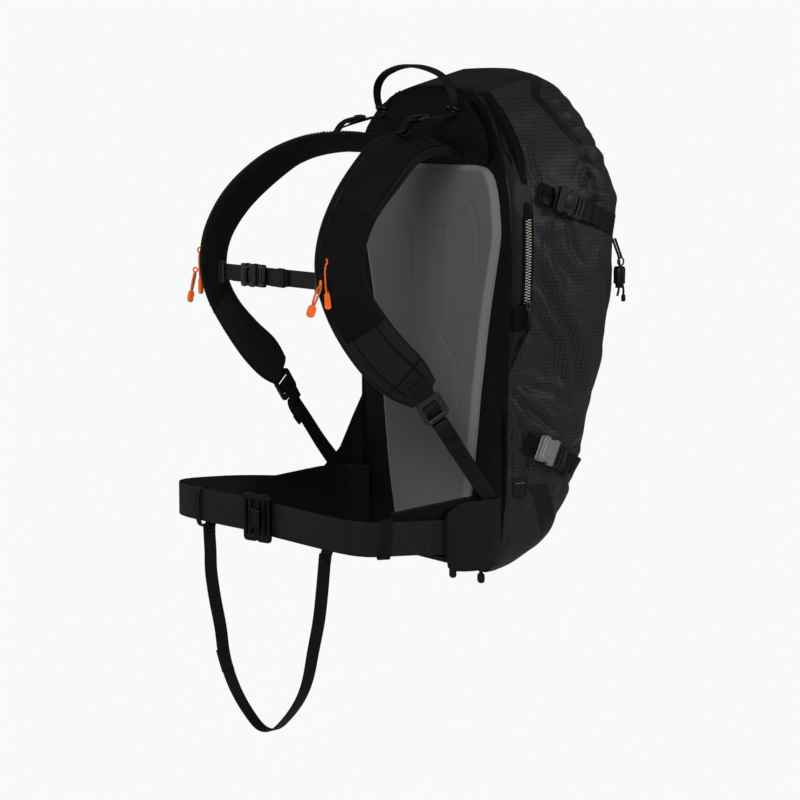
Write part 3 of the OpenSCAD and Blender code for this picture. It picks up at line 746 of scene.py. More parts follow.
def skin_piece(name, net, a, z, keep):
    """The part of the skin whose quads are kept, as one mesh."""
    rows, cols = a.shape
    quads = np.array(grid_faces(rows, cols)).reshape(rows - 1, cols - 1, 4)[keep]
    used, new = np.unique(quads, return_inverse=True)
    points = net.reshape(-1, 3)[used]
    uv = np.stack([a, z], -1).reshape(-1, 2)[used] / 1000
    obj = add_mesh(name, points, new.reshape(quads.shape), bag_cloth, uv)
    panel, seam = cloth_panels(a.ravel()[used], z.ravel()[used])
    give(obj, "panel", panel)
    give(obj, "seam", seam)
    return obj


net, cloth_a, cloth_z = bag_skin()
quad_z = (cloth_z[:-1, :-1] + cloth_z[1:, 1:]) / 2
column = np.arange(quad_z.shape[1])
from_back = np.minimum(column, column[::-1])[None]
gusset_part = (from_back < BEHIND + BESIDE) & (quad_z > FOLD_Z) & (quad_z < CROWN_SPLIT)

skin = skin_piece("bag_skin", net, cloth_a, cloth_z, ~gusset_part)
gusset = skin_piece("rear_gusset_cloth", net, cloth_a, cloth_z, gusset_part)
fit(gusset, "pack", ["rear_gusset"])
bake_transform(skin)
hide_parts("lower_body", "upper_shell")


def end_cap(name, ring, rise, body, node, material):
    """Closes the skin's base or crown with a slightly domed panel."""
    centre = ring.mean(axis=0)
    rings = [centre + (ring - centre) * s + (0, 0, rise * (1 - s * s)) for s in np.linspace(1, 0.02, 14)]
    points = np.array(rings)
    faces = grid_faces(*points.shape[:2])
    faces.append(list(range((len(rings) - 1) * len(ring), len(rings) * len(ring))))
    flat = points.reshape(-1, 3)
    obj = add_mesh(name, flat, faces, material, uv=flat[:, :2] / 1000)
    fit(obj, body, node)


end_cap("bottom_cloth", net[0], -1.5, "pack", ["bottom_panel"], smooth_cloth)
end_cap("crown_cloth", net[-1], 1.5, "front_section", [], smooth_cloth)


def welt(name, places, radius, material, body, lift=0.6):
    """Raised cord sewn along a line of cloth places, on both sides of the bag."""
    line = even(curve_through([bag_point(a, z) for a, z in places], 8), 4)
    outward = (line - (0, 80, 0)) * (1, 1, 0)
    outward /= np.linalg.norm(outward, axis=1)[:, None]
    near = line + outward * lift
    for label, points in (("left", near), ("right", near * (-1, 1, 1))):
        fit(piping(f"{label}_{name}", points, radius, material), body)


# ---------------------------------------------------------------- back: cloth, foam and neck pad


def back_cloth():
    """Flat cloth between the foam and the bag's edge, a little puffed at its rim."""
    cols = 61
    rows = []
    for z in np.arange(3.5, 594, 4.0):
        outline, _ = section(z)
        rim = outline[outline[:, 1] <= REAR_Y + 0.5]
        half_width = rim[:, 0].max() if len(rim) else 30.0
        x = np.linspace(-half_width, half_width, cols)
        from_edge = half_width - np.abs(x)
        puff = 1.2 * fade(0, 6, from_edge) + 1.4 * np.exp(-((from_edge - 12) / 8) ** 2)
        rows.append(np.stack([x, REAR_Y - puff, np.full(cols, z)], 1))
    points = np.array(rows)
    flat = points.reshape(-1, 3)
    flat[:, 1] += 0.5 * bumpy(flat, 26, 7) * fade(0, 30, 150 - np.abs(flat[:, 0]))
    obj = add_mesh("back_cloth", flat, grid_faces(*points.shape[:2]), smooth_cloth, uv=flat[:, [0, 2]] / 1000)
    fit(obj, "pack", ["back_panel"])


back_cloth()

FOAM_TOP, FOAM_BASE = 503.2, 33.8     # heights the foam's bevel is measured from
FOAM_BEVEL_W, FOAM_BEVEL = 9.5, 4.8   # width and depth of the foam's bevelled rim
FOAM_RIM_HIGHLIGHT_W = 9.0                     # width of the painted highlight that the paler tone lays in from the rim, over the bevel
SPINE_CHANNEL = [(-1, 290), (26, 290), (34, 427), (-1, 427)]
# Foam's outline: height and half width
FOAM_EDGE = [
    [34, 56], [38, 62], [52, 70], [110, 82], [160, 89], [215, 96], [268, 104], [337, 116],
    [402, 131], [425, 134], [464, 129], [480, 124], [489, 119], [495, 112], [500, 101], [503, 80],
]
# Lines pressed into the foam's left half, as distance from the middle and height
FOAM_GROOVES = [
    [(35, 427), (58, 441), (84, 457)], [(27, 290), (38, 280), (58, 262)],
    [(58, 262), (62, 200), (44, 110)], [(84, 457), (98, 430), (100, 380)],
]


def foam_look():
    """Dull grey foam, with a painted highlight in a paler tone along its bevelled rim."""
    # pale is the painted highlight's tone; the mask below lays it over the bevelled rim, where the light
    # catches it
    grey, pale = tone(82, 82, 82), tone(108, 108, 108)
    f = Finish("back_foam_look", grey, 0.8, sheen=0.03, specular=0.1)
    rim_highlight_share = f.sum("SUBTRACT", 1.0, f.sum("DIVIDE", f.number("rim"), FOAM_RIM_HIGHLIGHT_W))
    strip = f.add("ShaderNodeClamp", {0: f.sum("MULTIPLY", rim_highlight_share, 3.0)}).outputs[0]
    f.paint(f.mix(strip, grey, pale))
    f.relief(f.grain(1.2, 2.0), 0.12, 0.5)
    return f.material


def net_border(rows, cols):
    """Places in a net's list of points of its border, once round."""
    index = np.arange(rows * cols).reshape(rows, cols)
    return np.concatenate([index[0], index[1:, -1], index[-1, -2::-1], index[-2:0:-1, 0]])


def foam_back():
    """Moulded foam with a bevelled rim, a spine channel and pressed lines."""
    edge = curve_through(FOAM_EDGE, 8)
    stages = [np.arange(34, 60, 1.5), np.arange(60, 484, 2.5), np.arange(484, 503.1, 0.8)]
    heights = np.unique(np.concatenate(stages))
    share = np.linspace(-1, 1, 121)
    half = np.interp(heights, edge[:, 0], edge[:, 1])
    x = share[None] * half[:, None]
    z = np.repeat(heights[:, None], len(share), axis=1)
    from_side = (1 - np.abs(share))[None] * half[:, None] * 0.97
    rim = np.minimum(from_side, np.minimum(FOAM_TOP - z, z - FOAM_BASE))
    depth = FOAM_BEVEL * (1 - fade(0.0, FOAM_BEVEL_W, rim))
    depth += 3.0 * fade(-1.8, 1.8, inside_distance(np.abs(x), z, SPINE_CHANNEL))
    for line in FOAM_GROOVES:
        d, along = line_distance(np.abs(x), z, line)
        depth += 2.2 * np.exp(-(d / 2.4) ** 2) * fade(1.02, 0.75, along)
    points = np.stack([x, -FOAM_T + depth, z], -1)
    faces = grid_faces(*x.shape)
    flat = points.reshape(-1, 3)
    ring = net_border(*x.shape)
    base = flat[ring] * (1.012, 0, 1) + (0, 0.4, 0)
    start = len(flat)
    for i, here in enumerate(ring):
        j = (i + 1) % len(ring)
        faces.append([here, ring[j], start + j, start + i])
    flat = np.vstack([flat, base])
    obj = add_mesh("back_foam_shape", flat, faces, foam_look(), uv=flat[:, [0, 2]] / 1000)
    give(obj, "rim", np.concatenate([rim.ravel(), np.zeros(len(base))]))
    fit(obj, "pack", ["back_foam"])


foam_back()

# Neck pad from the foam up to the crown: height, half width, rear reach, front reach
NECK_PAD = [
    [500, 106, -2.5, -1], [504, 112, -8, 0], [514, 120, -22, 0], [530, 119, -26, 0], [546, 112, -27, 0],
    [560, 100, -25.5, 0], [572, 87, -22, 0], [584, 70, -16, 0], [592, 54, -10, 1], [598, 34, -4, 2],
]


def neck_pad():
    """Padded black cloth behind the shoulders, over the foam's top edge."""
    points = loaf(NECK_PAD, 5, 97, 0.6, 0.8)
    flat = points.reshape(-1, 3)
    rear_side = fade(-2, -12, flat[:, 1])
    flat[:, 1] -= rear_side * (1.6 * bumpy(flat, 30, 5) + 0.7 * bumpy(flat, 11, 6))
    faces = closed_faces(*points.shape[:2])
    obj = add_mesh("neck_pad", flat, faces, smooth_cloth, uv=flat[:, [0, 2]] / 1000)
    fit(obj, "pack", ["upper_back_pad"])


neck_pad()

# ---------------------------------------------------------------- stitching


def stitches(name, points, material=thread, pitch=4.0, radius=0.35):
    """Row of short stitches along a line of points."""
    line = even(np.asarray(points, float), pitch)
    sides = 5
    verts, faces = [], []
    for a, b in zip(line[:-1], line[1:]):
        start, end = Vector(a), Vector(a + (b - a) * 0.62)
        turn = (end - start).to_track_quat("Z", "Y").to_matrix()
        base = len(verts)
        for end_point in (start, end):
            for k in range(sides):
                angle = 2 * math.pi * k / sides
                around = Vector((radius * math.cos(angle), radius * math.sin(angle), 0))
                verts.append((end_point + turn @ around)[:])
        for k in range(sides):
            after = (k + 1) % sides
            faces.append([base + k, base + after, base + sides + after, base + sides + k])
    return add_mesh(name, verts, faces, material, uv=np.array(verts)[:, :2] / 1000)


# ---------------------------------------------------------------- shoulder pads

# Left shoulder pad from the neck to its tail: place on its middle line, direction across, width
PAD = [
    [[54, -16, 514], [1, 0.05, -0.1], 50], [[64, -52, 526], [0.95, 0.15, -0.3], 54],
    [[80, -96, 527], [0.85, 0.3, -0.45], 56], [[96, -134, 518], [0.7, 0.45, -0.55], 56],
    [[111, -170, 496], [0.5, 0.6, -0.62], 56], [[121, -208, 462], [0.35, 0.85, -0.42], 54],
    [[127, -232, 425], [0.36, 0.93, -0.2], 54], [[130, -240, 390], [0.4, 0.92, 0], 54],
    [[134, -233, 354], [0.45, 0.85, 0.2], 54], [[137, -212, 318], [0.5, 0.7, 0.4], 58],
    [[139, -182, 283], [0.45, 0.62, 0.6], 60], [[142, -152, 257], [0.35, 0.6, 0.7], 56],
    [[147, -130, 238], [0.3, 0.62, 0.72], 38],
]
PAD_RIM, PAD_RISE = 1.6, 5.6        # half thickness of the pad's sewn rim, and rise of its face above that


def pad_line(step=3.0):
    """Pad's stations at even steps: place, direction across, width."""
    return strap_line(PAD, step)


def pad_crown(u):
    """How full the padding stands at u, which is -0.5 and 0.5 at the rims: 1 along the middle, 0 there."""
    return (1 - np.abs(2 * u) ** 3.2) ** 0.62


def pad_section(width, rise_out=PAD_RISE, rise_in=4.0, rim=PAD_RIM, count=15):
    """Crowned section of a padded strap with a thin sewn rim."""
    u = np.linspace(-0.5, 0.5, count)
    outer = np.stack([u * width, rim + rise_out * pad_crown(u)], 1)
    inner = np.stack([u[::-1] * width, -rim - rise_in * pad_crown(u)[::-1]], 1)
    return np.vstack([outer, [[width / 2 + 0.6, 0]], inner, [[-width / 2 - 0.6, 0]]])


def along_pad(share_from, share_to, across, lift, step=3.0):
    """Line of places on the pad: across from -0.5 to 0.5 of its width, raised off its face by lift."""
    line = pad_line(step)
    _, side, normal = frames_along(line[:, :3], line[:, 3:6])
    last = len(line) - 1
    kept = slice(int(share_from * last), int(share_to * last) + 1)
    line, side, normal = line[kept], side[kept], normal[kept]
    across = np.atleast_1d(across)
    u = np.interp(np.linspace(0, 1, len(line)), np.linspace(0, 1, len(across)), across)[:, None]
    return line[:, :3] + side * u * line[:, 6:7] + normal * (PAD_RIM + PAD_RISE * pad_crown(u) + lift)


def mesh_points(obj):
    """Places, in metres, and outward directions of a mesh's points."""
    verts = obj.data.vertices
    return np.array([v.co[:] for v in verts]), np.array([v.normal[:] for v in verts])


def set_points(obj, places):
    """Moves a mesh's points to new places, in metres."""
    obj.data.vertices.foreach_set("co", places.ravel())
    obj.data.update()


def shoulder_pads():
    """Padded straps with a slightly uneven face."""
    line = pad_line()
    share = np.linspace(0, 1, len(line))
    uneven_width = 1 + 0.012 * bumpy(line[:, :3], 22, 4)
    outlines = np.array([pad_section(w) for w in line[:, 6] * uneven_width])
    outlines[..., 1] *= (0.72 + 0.28 * fade(0, 0.08, share) * fade(1.0, 0.9, share))[:, None]
    pad = sweep("left_shoulder_pad", line[:, :3], line[:, 3:6], outlines, pad_look())
    give(pad, "share", np.repeat(share, outlines.shape[1] + 1))
    places, out = mesh_points(pad)
    lumps = 0.0006 * bumpy(places * 1000, 16, 8) + 0.0007 * bumpy(places * 1000, 34, 9)
    set_points(pad, places + out * lumps[:, None])
    pair(pad, "pack", ["left_strap_pad"])


def pad_seams():
    """Bindings, pressed seams and stitching of the shoulder pads."""
    parts = []
    for label, edge in (("inner", 0.5), ("outer", -0.5)):
        rim = along_pad(0.0, 1.0, edge, -PAD_RIM, step=4.0)
        parts.append(piping(f"left_pad_binding_{label}", rim, 2.2, webbing))
    seams = {
        "zip_groove": along_pad(0.44, 0.70, [-0.36, -0.39, -0.38, -0.33, -0.26], 0.1),
        "low_fold_a": along_pad(0.72, 0.97, [-0.26, -0.3], 0.1),
        "low_fold_b": along_pad(0.72, 0.97, [0.26, 0.3], 0.1),
        "top_fold": along_pad(0.08, 0.66, [0.36, 0.38], 0.1),
    }
    cross_seams = {"panel_seam": 0.715, "panel_seam_low": 0.735, "neck_seam": 0.2, "tail_seam": 0.93}
    for label, at in cross_seams.items():
        places = [along_pad(at, at + 0.012, across, 0.1)[0] for across in np.linspace(-0.48, 0.48, 17)]
        seams[label] = np.array(places)
    for label, line in seams.items():
        parts.append(piping(f"left_pad_{label}", line, 0.9, smooth_cloth, step=3, sides=6))
    for label, across in (("stitching", 0.43), ("stitching_front", -0.43)):
        parts.append(stitches(f"left_pad_{label}", along_pad(0.08, 0.96, across, 0.35)))
    for part in parts:
        pair(part, "pack")


def pad_look():
    """Black face cloth, with a paler stretch panel along the pad's lower third, whose weave hollows are
    darkened with painted shade.
    """
    black, paler_black = tone(11, 11, 12), tone(27, 27, 28)
    f = Finish("shoulder_pad_look", black, 0.66, sheen=0.01, specular=0.08)
    along, across = f.cloth_axes()
    low = f.sum("GREATER_THAN", f.number("share"), 0.72)
    weave = f.sum("MULTIPLY", f.ripple(along, 2.4), f.ripple(across, 2.4))
    # the panel's paler tone is its cloth; within it, painted shade darkens the weave's hollows
    paler = f.sum("MULTIPLY", low, f.sum("MULTIPLY_ADD", weave, 0.4, 0.6))
    f.paint(f.mix(paler, black, paler_black))
    f.relief(weave, 0.2, 0.5)
    f.relief(f.grain(7, 3.0), 0.7, 0.35)
    return f.material


shoulder_pads()
pad_seams()

PAD_TURN = -23.5                    # degrees the pad's outer face is turned by, where the zip pulls hang
HANDLE_AT = (130, -240, 392)        # middle of the pull handle's seat in the left pad
HANDLE_STAND = 12.7                 # how far the sleeve stands out over the handle
SLEEVE_HEIGHTS = (312, 458)         # heights that the sleeve reaches between


def trigger_pocket():
    """Padded swelling of the left pad that hides the pull handle's sleeve."""
    line = pad_line()
    _, side, normal = frames_along(line[:, :3], line[:, 3:6])
    low, high = SLEEVE_HEIGHTS
    keep = (line[:, 2] > low) & (line[:, 2] < high)
    line, side, normal = line[keep], side[keep], normal[keep]
    along = np.linspace(-1, 1, len(line))
    across = np.linspace(-0.44, 0.48, 24)
    swell = 5.8 * np.outer((1 - along**4) ** 0.8, (1 - np.abs((across - 0.04) / 0.5) ** 4) ** 0.8)
    lift = 1.0 + PAD_RISE * pad_crown(across)[None] + swell
    points = (line[:, None, :3] + side[:, None] * (across[None, :, None] * line[:, None, 6:7])
              + normal[:, None] * lift[..., None])
    turn = np.array(seat_at(HANDLE_AT, z=PAD_TURN, y=-6).to_3x3())
    local = (points - HANDLE_AT) @ turn
    over_handle = (fade(-15, -9.5, local[..., 1]) * fade(25, 19.5, local[..., 1])
                   * fade(-48, -36, local[..., 2]) * fade(60, 46, local[..., 2]))
    local[..., 0] += over_handle * np.maximum(HANDLE_STAND - local[..., 0], 0)
    points = local @ turn.T + HANDLE_AT
    pad_width = 54
    uv = np.stack(np.broadcast_arrays(line[:, 2:3], across[None] * pad_width), -1).reshape(-1, 2) / 1000
    obj = add_mesh("trigger_sleeve", points.reshape(-1, 3), grid_faces(*points.shape[:2]), pad_cloth, uv)
    fit(obj, "pack", ["trigger_pocket"])


trigger_pocket()

# ---------------------------------------------------------------- lower webbing and ladder locks

# Webbing from the ladder lock down to the bag: place, direction across, width
LOWER_WEB = [
    [[151.2, -107, 200], [0.3, 0.72, 0.55], 20], [[152, -88, 175], [0.25, 0.75, 0.5], 20],
    [[153.8, -62, 140], [0.15, 0.78, 0.5], 20], [[153.8, -42, 115], [0, 0.8, 0.5], 20],
    [[152.6, -31, 101], [0, 0.7, 0.6], 20],
]
lock_axes = seat_at((150.2, -119.8, 219.6), z=84.8, y=56, x=103.5)


def lower_webbing():
    """Webbing from the bag through the ladder lock, its loose tail and the loop at the pad's end."""
    across = (lock_axes.to_3x3() @ Vector((0, 1, 0)))[:]

    def threaded(name, places, thick, step):
        """Strap through places along the lock, heights over it and widths."""
        stations = [[(lock_axes @ Vector((x, 0, z)))[:], across, width] for x, z, width in places]
        return strap(name, stations, thick, webbing, step=step)

    through = [
        (20, -3.0), (12.6, -3.9), (6.5, -0.8), (0, 3.3), (-6, 0.4), (-6.6, -2.8), (-1, -5.0), (10, -5.8),
        (26, -5.4),
    ]
    tail = [(19, 0.6), (26, 4.0), (36, 5.6), (52, 4.4)]
    folded_end = [(46, 6.0), (52, 5.2), (59, 3.4)]
    whole = join("lower_webbing", [
        strap("lower_webbing", LOWER_WEB, 1.9, webbing),
        threaded("webbing_through_lock", [(x, z, 19.5) for x, z in through], 1.5, 1.5),
        threaded("webbing_tail", [(x, z, 19.5) for x, z in tail], 1.5, 2),
        threaded("webbing_folded_end", [(x, z, 20.5) for x, z in folded_end], 3.0, 2),
        threaded("pad_end_loop", [(-40, 7.0, 27), (-28, 5.6, 26), (-19, 1.5, 24), (-12, -3.8, 23)], 3.0, 2),
    ])
    fit(whole, "pack", ["strap_webbing"])
    twin(whole, "right_lower_webbing", "pack")


lower_webbing()


def ladder_lock():
    """Metal slider with two webbing slots and round bars."""
    slots = [rounded(8, 24, 1.6, x) for x in (-6.5, 6.5)]
    parts = [cut_plate("left_lock_plate", [rounded(30, 32, 5), *slots], 4, 1.1, dark_metal, lock_axes)]
    for x, radius in ((-12.6, 2.4), (0, 2.4), (12.6, 2.6)):
        ends = at_matrix(lock_axes, [(x, -12.5, 0), (x, 0, 0), (x, 12.5, 0)])
        parts.append(tube("left_lock_bar", ends, radius, dark_metal, sides=12))
    pair(join("left_lock", parts), "left_ladder_lock", ["left_ladder_lock"])


ladder_lock()

# ---------------------------------------------------------------- load lifters and haul loop

# Webbing of the load lifters and of the haul loop: place, direction across, width
LIFTERS = {
    "left": [[[68, -23, 561], [1, 0, 0], 15], [[73, -56, 558.5], [1, 0, 0], 15],
             [[80, -90, 554], [1, 0.2, -0.1], 15], [[89, -120, 539], [1, 0.3, -0.4], 15]],
    "right": [[[-68, -23, 561], [1, 0, 0], 15], [[-71, -48, 556.5], [1, 0, 0], 15],
              [[-75, -80, 547], [1, 0, 0.2], 15], [[-79, -98, 539], [1, -0.1, 0.4], 15]],
}
# Adjuster on each lifter: place, tilt and turn in degrees
ADJUSTERS = {"left": ((79, -86, 558.6), 12, 11), "right": ((-73, -65, 555.6), 17, 0)}
HAUL = [
    [[72, -26, 568], [0, 1, 0], 13], [[75, -28.5, 584], [0.1, 1, 0], 14], [[69, -31, 600], [0, 1, 0], 15],
    [[51, -33, 612.5], [0, 1, 0], 17], [[18, -35, 620.5], [0, 1, 0], 19], [[-18, -35, 620.5], [0, 1, 0], 19],
    [[-51, -33, 612.5], [0, 1, 0], 17], [[-69, -31, 600], [0, 1, 0], 15],
    [[-75, -28.5, 584], [-0.1, 1, 0], 14], [[-72, -26, 568], [0, 1, 0], 13],
]


def lifter_strap(label, seat):
    """Webbing from the bag to the pad's crest, with the loose tail beyond the adjuster."""
    main = strap("lifter_webbing", LIFTERS[label], 1.5, webbing, step=3)
    places = at_matrix(seat, [(0, 2, 2.6), (1, -12, 3.6), (3, -26, 0.5), (5, -40, -9)])
    tail = strap("lifter_tail", [[p, [1, 0, 0], 14] for p in places], 1.3, webbing, step=3)
    return join(label + "_load_lifter", [main, tail])


def lifter_adjuster(label, seat):
    """Flat plate with two webbing slots and a raised bar."""
    slots = [rounded(16, 4.4, 1, 0, y) for y in (-4, 4)]
    plate = cut_plate("lifter_plate", [rounded(22, 18, 2.5), *slots], 3.6, 0.8, black_plastic, seat)
    ends = at_matrix(seat, [(-10.5, 8.5, 1.5), (0, 9.5, 2.2), (10.5, 8.5, 1.5)])
    return join(label + "_lifter_adjuster", [plate, tube("lifter_bar", ends, 1.7, black_plastic)])


def lifter_anchor(label, side):
    """Ring at the bag's shoulder and the cloth tab that holds it."""
    ring = [(side * (70 + 9 * math.cos(t)), -25.5 - 4.5 * math.sin(t), 569 + 3 * math.sin(t))
            for t in np.linspace(0, 2 * math.pi, 17)]
    circle = tube(label + "_lifter_ring", ring, 1.3, dark_metal, step=1.5, sides=8, smooth_steps=3)
    fit(circle, "pack")
    stations = [
        [[side * 71, -24, 567], [side, 0.2, 0], 13], [[side * 73, -12, 579], [side, 0.3, -0.3], 19],
        [[side * 75, 2, 585], [side, 0.4, -0.6], 24],
    ]
    fit(strap(label + "_lifter_anchor", stations, 1.6, smooth_cloth, step=3), "pack")


def load_lifters():
    """Both lifters; they hang differently, so the right one isn't a twin."""
    for label, side in (("left", 1), ("right", -1)):
        at, tilt, yaw = ADJUSTERS[label]
        seat = seat_at(at, z=yaw, x=tilt)
        stands_for = (["load_lifter_straps"], ["load_lifter_adjusters"]) if label == "left" else ([], [])
        fit(lifter_strap(label, seat), "pack", stands_for[0])
        fit(lifter_adjuster(label, seat), "pack", stands_for[1])
        lifter_anchor(label, side)


load_lifters()


def haul_loop():
    """Folded webbing handle, thickest along its crest."""
    line = strap_line(HAUL, 3)
    share = np.linspace(0, 1, len(line))
    thick = 2.2 + 2.0 * fade(0.2, 0.3, share) * fade(0.8, 0.7, share)
    outlines = np.array([strap_outline(w * 0.86, t) for w, t in zip(line[:, 6], thick)])
    obj = sweep("haul_handle", line[:, :3], line[:, 3:6], outlines, webbing)
    fit(obj, "haul_loop", ["haul_loop"])


haul_loop()

# ---------------------------------------------------------------- hip belt

BELT_W = 41
# Left wing and the pocket over it: place, direction across, width
WING = [
    [[118, -8, 66], [0, 0, 1], 78], [[138, -20, 66], [0, 0, 1], 80], [[146, -44, 67], [0, 0, 1], 80],
    [[147, -76, 70], [0, 0, 1], 74], [[146, -120, 75], [0, 0, 1], 58], [[144, -176, 78], [0, 0, 1], 44],
]
WING_COVER = [
    [[137, -2, 60], [0, 0, 1], 78], [[146, -11, 61], [0, 0, 1], 80], [[155, -24, 62], [0, 0, 1], 82],
    [[160.2, -42, 62], [0, 0, 1], 84], [[160.6, -72, 63], [0, 0, 1], 83], [[160.2, -92, 64], [0, 0, 1], 78],
    [[159.6, -101, 65], [0, 0, 1], 66], [[158.8, -105, 65], [0, 0, 1], 50],
]
WING_SAIL = [(-62, 80), (-62, 106), (-34, 130), (-18, 160), (-1.5, 205)]      # front edge, depth and height
# Middle line of the belt on each side of the buckle, and of its ribbed part
BELT_LEFT = [
    [156.4, -40, 60.4], [154, -120, 67], [152.8, -160, 70.3], [151.5, -205, 74], [147, -222, 76],
    [136, -233, 77.5], [110, -241, 79], [60, -251.4, 82], [18, -259.2, 84.4],
]
BELT_RIGHT = [
    [-153, -40, 66], [-155, -76, 72], [-154, -120, 80], [-153, -190, 88], [-152, -254, 92],
    [-146, -282, 92.5], [-122, -290, 91.5], [-70, -279, 89], [-24, -267, 87],
]
BELT_RIBBED = [(153.9, -122, 67.2), (152.8, -160, 70.3), (151.6, -200, 73.6)]
buckle_axes = seat_at((0, -262.5, 85.5), z=10.5)


def wing_pads():
    """Padded wings beside the back, with a binding along both edges."""
    line = strap_line(WING, 3.5)
    outlines = np.array([pad_section(w, 4.2, 4.2, 1.0) for w in line[:, 6]])
    share = np.linspace(0, 1, len(line))
    outlines[..., 1] *= (0.55 + 0.45 * fade(0.0, 0.12, share) * fade(1.0, 0.85, share))[:, None]
    wing = sweep("left_wing", line[:, :3], line[:, 3:6], outlines, smooth_cloth)
    pair(wing, "pack", ["left_hip_wing"])
    _, side, _ = frames_along(line[:, :3], line[:, 3:6])
    for label, edge in (("upper", 0.5), ("lower", -0.5)):
        rim = line[:, :3] + side * line[:, 6:7] * edge
        pair(piping(f"left_wing_binding_{label}", rim, 1.7, webbing), "pack")


def wing_covers():
    """Ripstop pocket over each wing, fullest at its middle and where it meets the bag."""
    rows = strap_line(WING_COVER, 3)
    y = rows[:, 1]
    swell = 1.2 + 4.6 * np.exp(-(((y + 76) / 24) ** 2)) + 3.2 * np.exp(-(((y + 10) / 12) ** 2))
    outlines = np.array([pad_section(w, s, 0.5, 0.6, 27) for w, s in zip(rows[:, 6], swell)])
    cover = sweep("left_wing_cover", rows[:, :3], rows[:, 3:6], outlines, ripstop)
    places, out = mesh_points(cover)
    lumps = 1.1 * bumpy(places * (1000, 1000, 500), 13, 14) - 0.4
    places[:, 0] += 0.001 * fade(-0.1, 0.6, out[:, 0]) * lumps
    set_points(cover, places)
    pair(cover, "pack")


def wing_sails():
    """Thin cloth that fills the corner between each wing and the bag's side."""
    heights = np.linspace(80, 205, 40)
    front = np.interp(heights, [z for _, z in WING_SAIL], [y for y, _ in WING_SAIL])
    y = -0.8 + np.linspace(1, 0, 16)[None] * (front[:, None] + 0.8)
    x = 148.4 - 9.5 * fade(-20, 0, y)
    sheets = [np.stack([x + s, y, np.broadcast_to(heights[:, None], y.shape)], -1) for s in (1.1, -1.1)]
    shell = np.concatenate([sheets[0], sheets[1][:, ::-1], sheets[0][:, :1]], axis=1)
    flat = shell.reshape(-1, 3)
    sail = add_mesh("left_wing_sail", flat, grid_faces(*shell.shape[:2]), smooth_cloth, uv=flat[:, 1:] / 1000)
    pair(sail, "pack")


wing_pads()
wing_covers()
wing_sails()


def ribbed_webbing():
    """Webbing with deep ribs across it, with painted shade in the grooves and a painted highlight on the
    ribs.
    """
    f = Finish("ribbed_webbing_look", tone(30, 30, 30), 0.6, specular=0.1)
    height = f.ripple(f.cloth_axes()[0], 3.2)
    # painted shade and highlight: the colour follows the ribs' height, dark in the grooves and light on the
    # crests
    f.paint(f.mix(height, tone(9, 9, 9), tone(38, 38, 38)))
    f.relief(height, 0.6, 0.9)
    return f.material


def belt_run(name, points, thick=2.3):
    """One side of the belt's webbing."""
    return strap(name, [[p, [0, 0, 1], BELT_W] for p in points], thick, belt_web)


def belt_straps():
    """Both runs of the belt, a ribbed part by the left wing and the loops round the buckle's bars."""
    ribbed = [[[x + 0.5, y, z], [0, 0, 1], BELT_W - 1.2] for x, y, z in BELT_RIBBED]
    parts = [
        belt_run("belt_near_run", BELT_LEFT),
        belt_run("belt_far_run", BELT_RIGHT),
        strap("belt_ribbed_part", ribbed, 2.6, ribbed_webbing()),
    ]
    for side in (1, -1):
        for x in (5.2, 13.5):
            arc = at_matrix(buckle_axes, [(side * (x + 3.4 * math.cos(t)), -4.8 + 4.2 * math.sin(t), 0)
                                          for t in np.linspace(0.2, math.pi - 0.2, 7)])
            rows = [[p, [0, 0, 1], BELT_W - 1] for p in arc]
            parts.append(strap("belt_bar_loop", rows, 1.8, belt_web, step=1.5))
    fit(join("belt_straps", parts), "pack", ["belt_webbing"])


belt_straps()


def buckle_frame(name, side):
    """Frame with two webbing slots and three round bars."""
    centre = side * 11.0
    seat = buckle_axes @ seat_at((centre, -5, 0), x=90)
    outlines = [rounded(20, 56, 4), rounded(5.2, 45, 2, -4.2), rounded(5.2, 45, 2, 4.6)]
    parts = [cut_plate(name, outlines, 5, 1.3, black_gloss, seat)]
    for x in (centre - 8.4, centre + 0.2, centre + 8.6):
        ends = at_matrix(buckle_axes, [(x, -5.4, -27), (x, -6.3, 0), (x, -5.4, 27)])
        parts.append(tube(name + "_bar", ends, 2.3, black_gloss, sides=12))
    return join(name, parts)


def belt_buckle():
    """Two metal frames; a hook plate on one latches over the other."""
    hook = buckle_frame("buckle_hook_half", -1)
    seat = buckle_axes @ seat_at((1.5, -9.4, 0), x=90)
    latch = cut_plate("buckle_latch", [rounded(11, 20, 3)], 3.2, 1.1, black_gloss, seat)
    pin = at_matrix(buckle_axes, [(-4, -8.2, -12), (-4, -8.2, 0), (-4, -8.2, 12)])
    knuckle = tube("buckle_knuckle", pin, 2.4, black_gloss, sides=12)
    whole = join("buckle_hook_half", [hook, latch, knuckle])
    fit(whole, "pack", ["belt_buckle_hook"])
    fit(buckle_frame("buckle_frame_half", 1), "belt_buckle_frame", ["belt_buckle_frame"])


belt_buckle()


def belt_keeper():
    """Elastic band round the belt."""
    seat = seat_at((151.9, -192, 72.9), z=-1.7, x=-4.7)
    ring = [(x, 0, z) for x, z in rounded(5.6, BELT_W + 5.4, 2.4, steps=4)]
    centres = at_matrix(seat, ring + ring[:1])
    across = np.repeat([(seat.to_3x3() @ Vector((0, 1, 0)))[:]], len(centres), axis=0)
    obj = sweep("keeper_band", centres, across, strap_outline(16, 1.5), elastic, capped=False)
    fit(obj, "belt_keeper", ["belt_keeper"])


belt_keeper()

# ---------------------------------------------------------------- leg strap

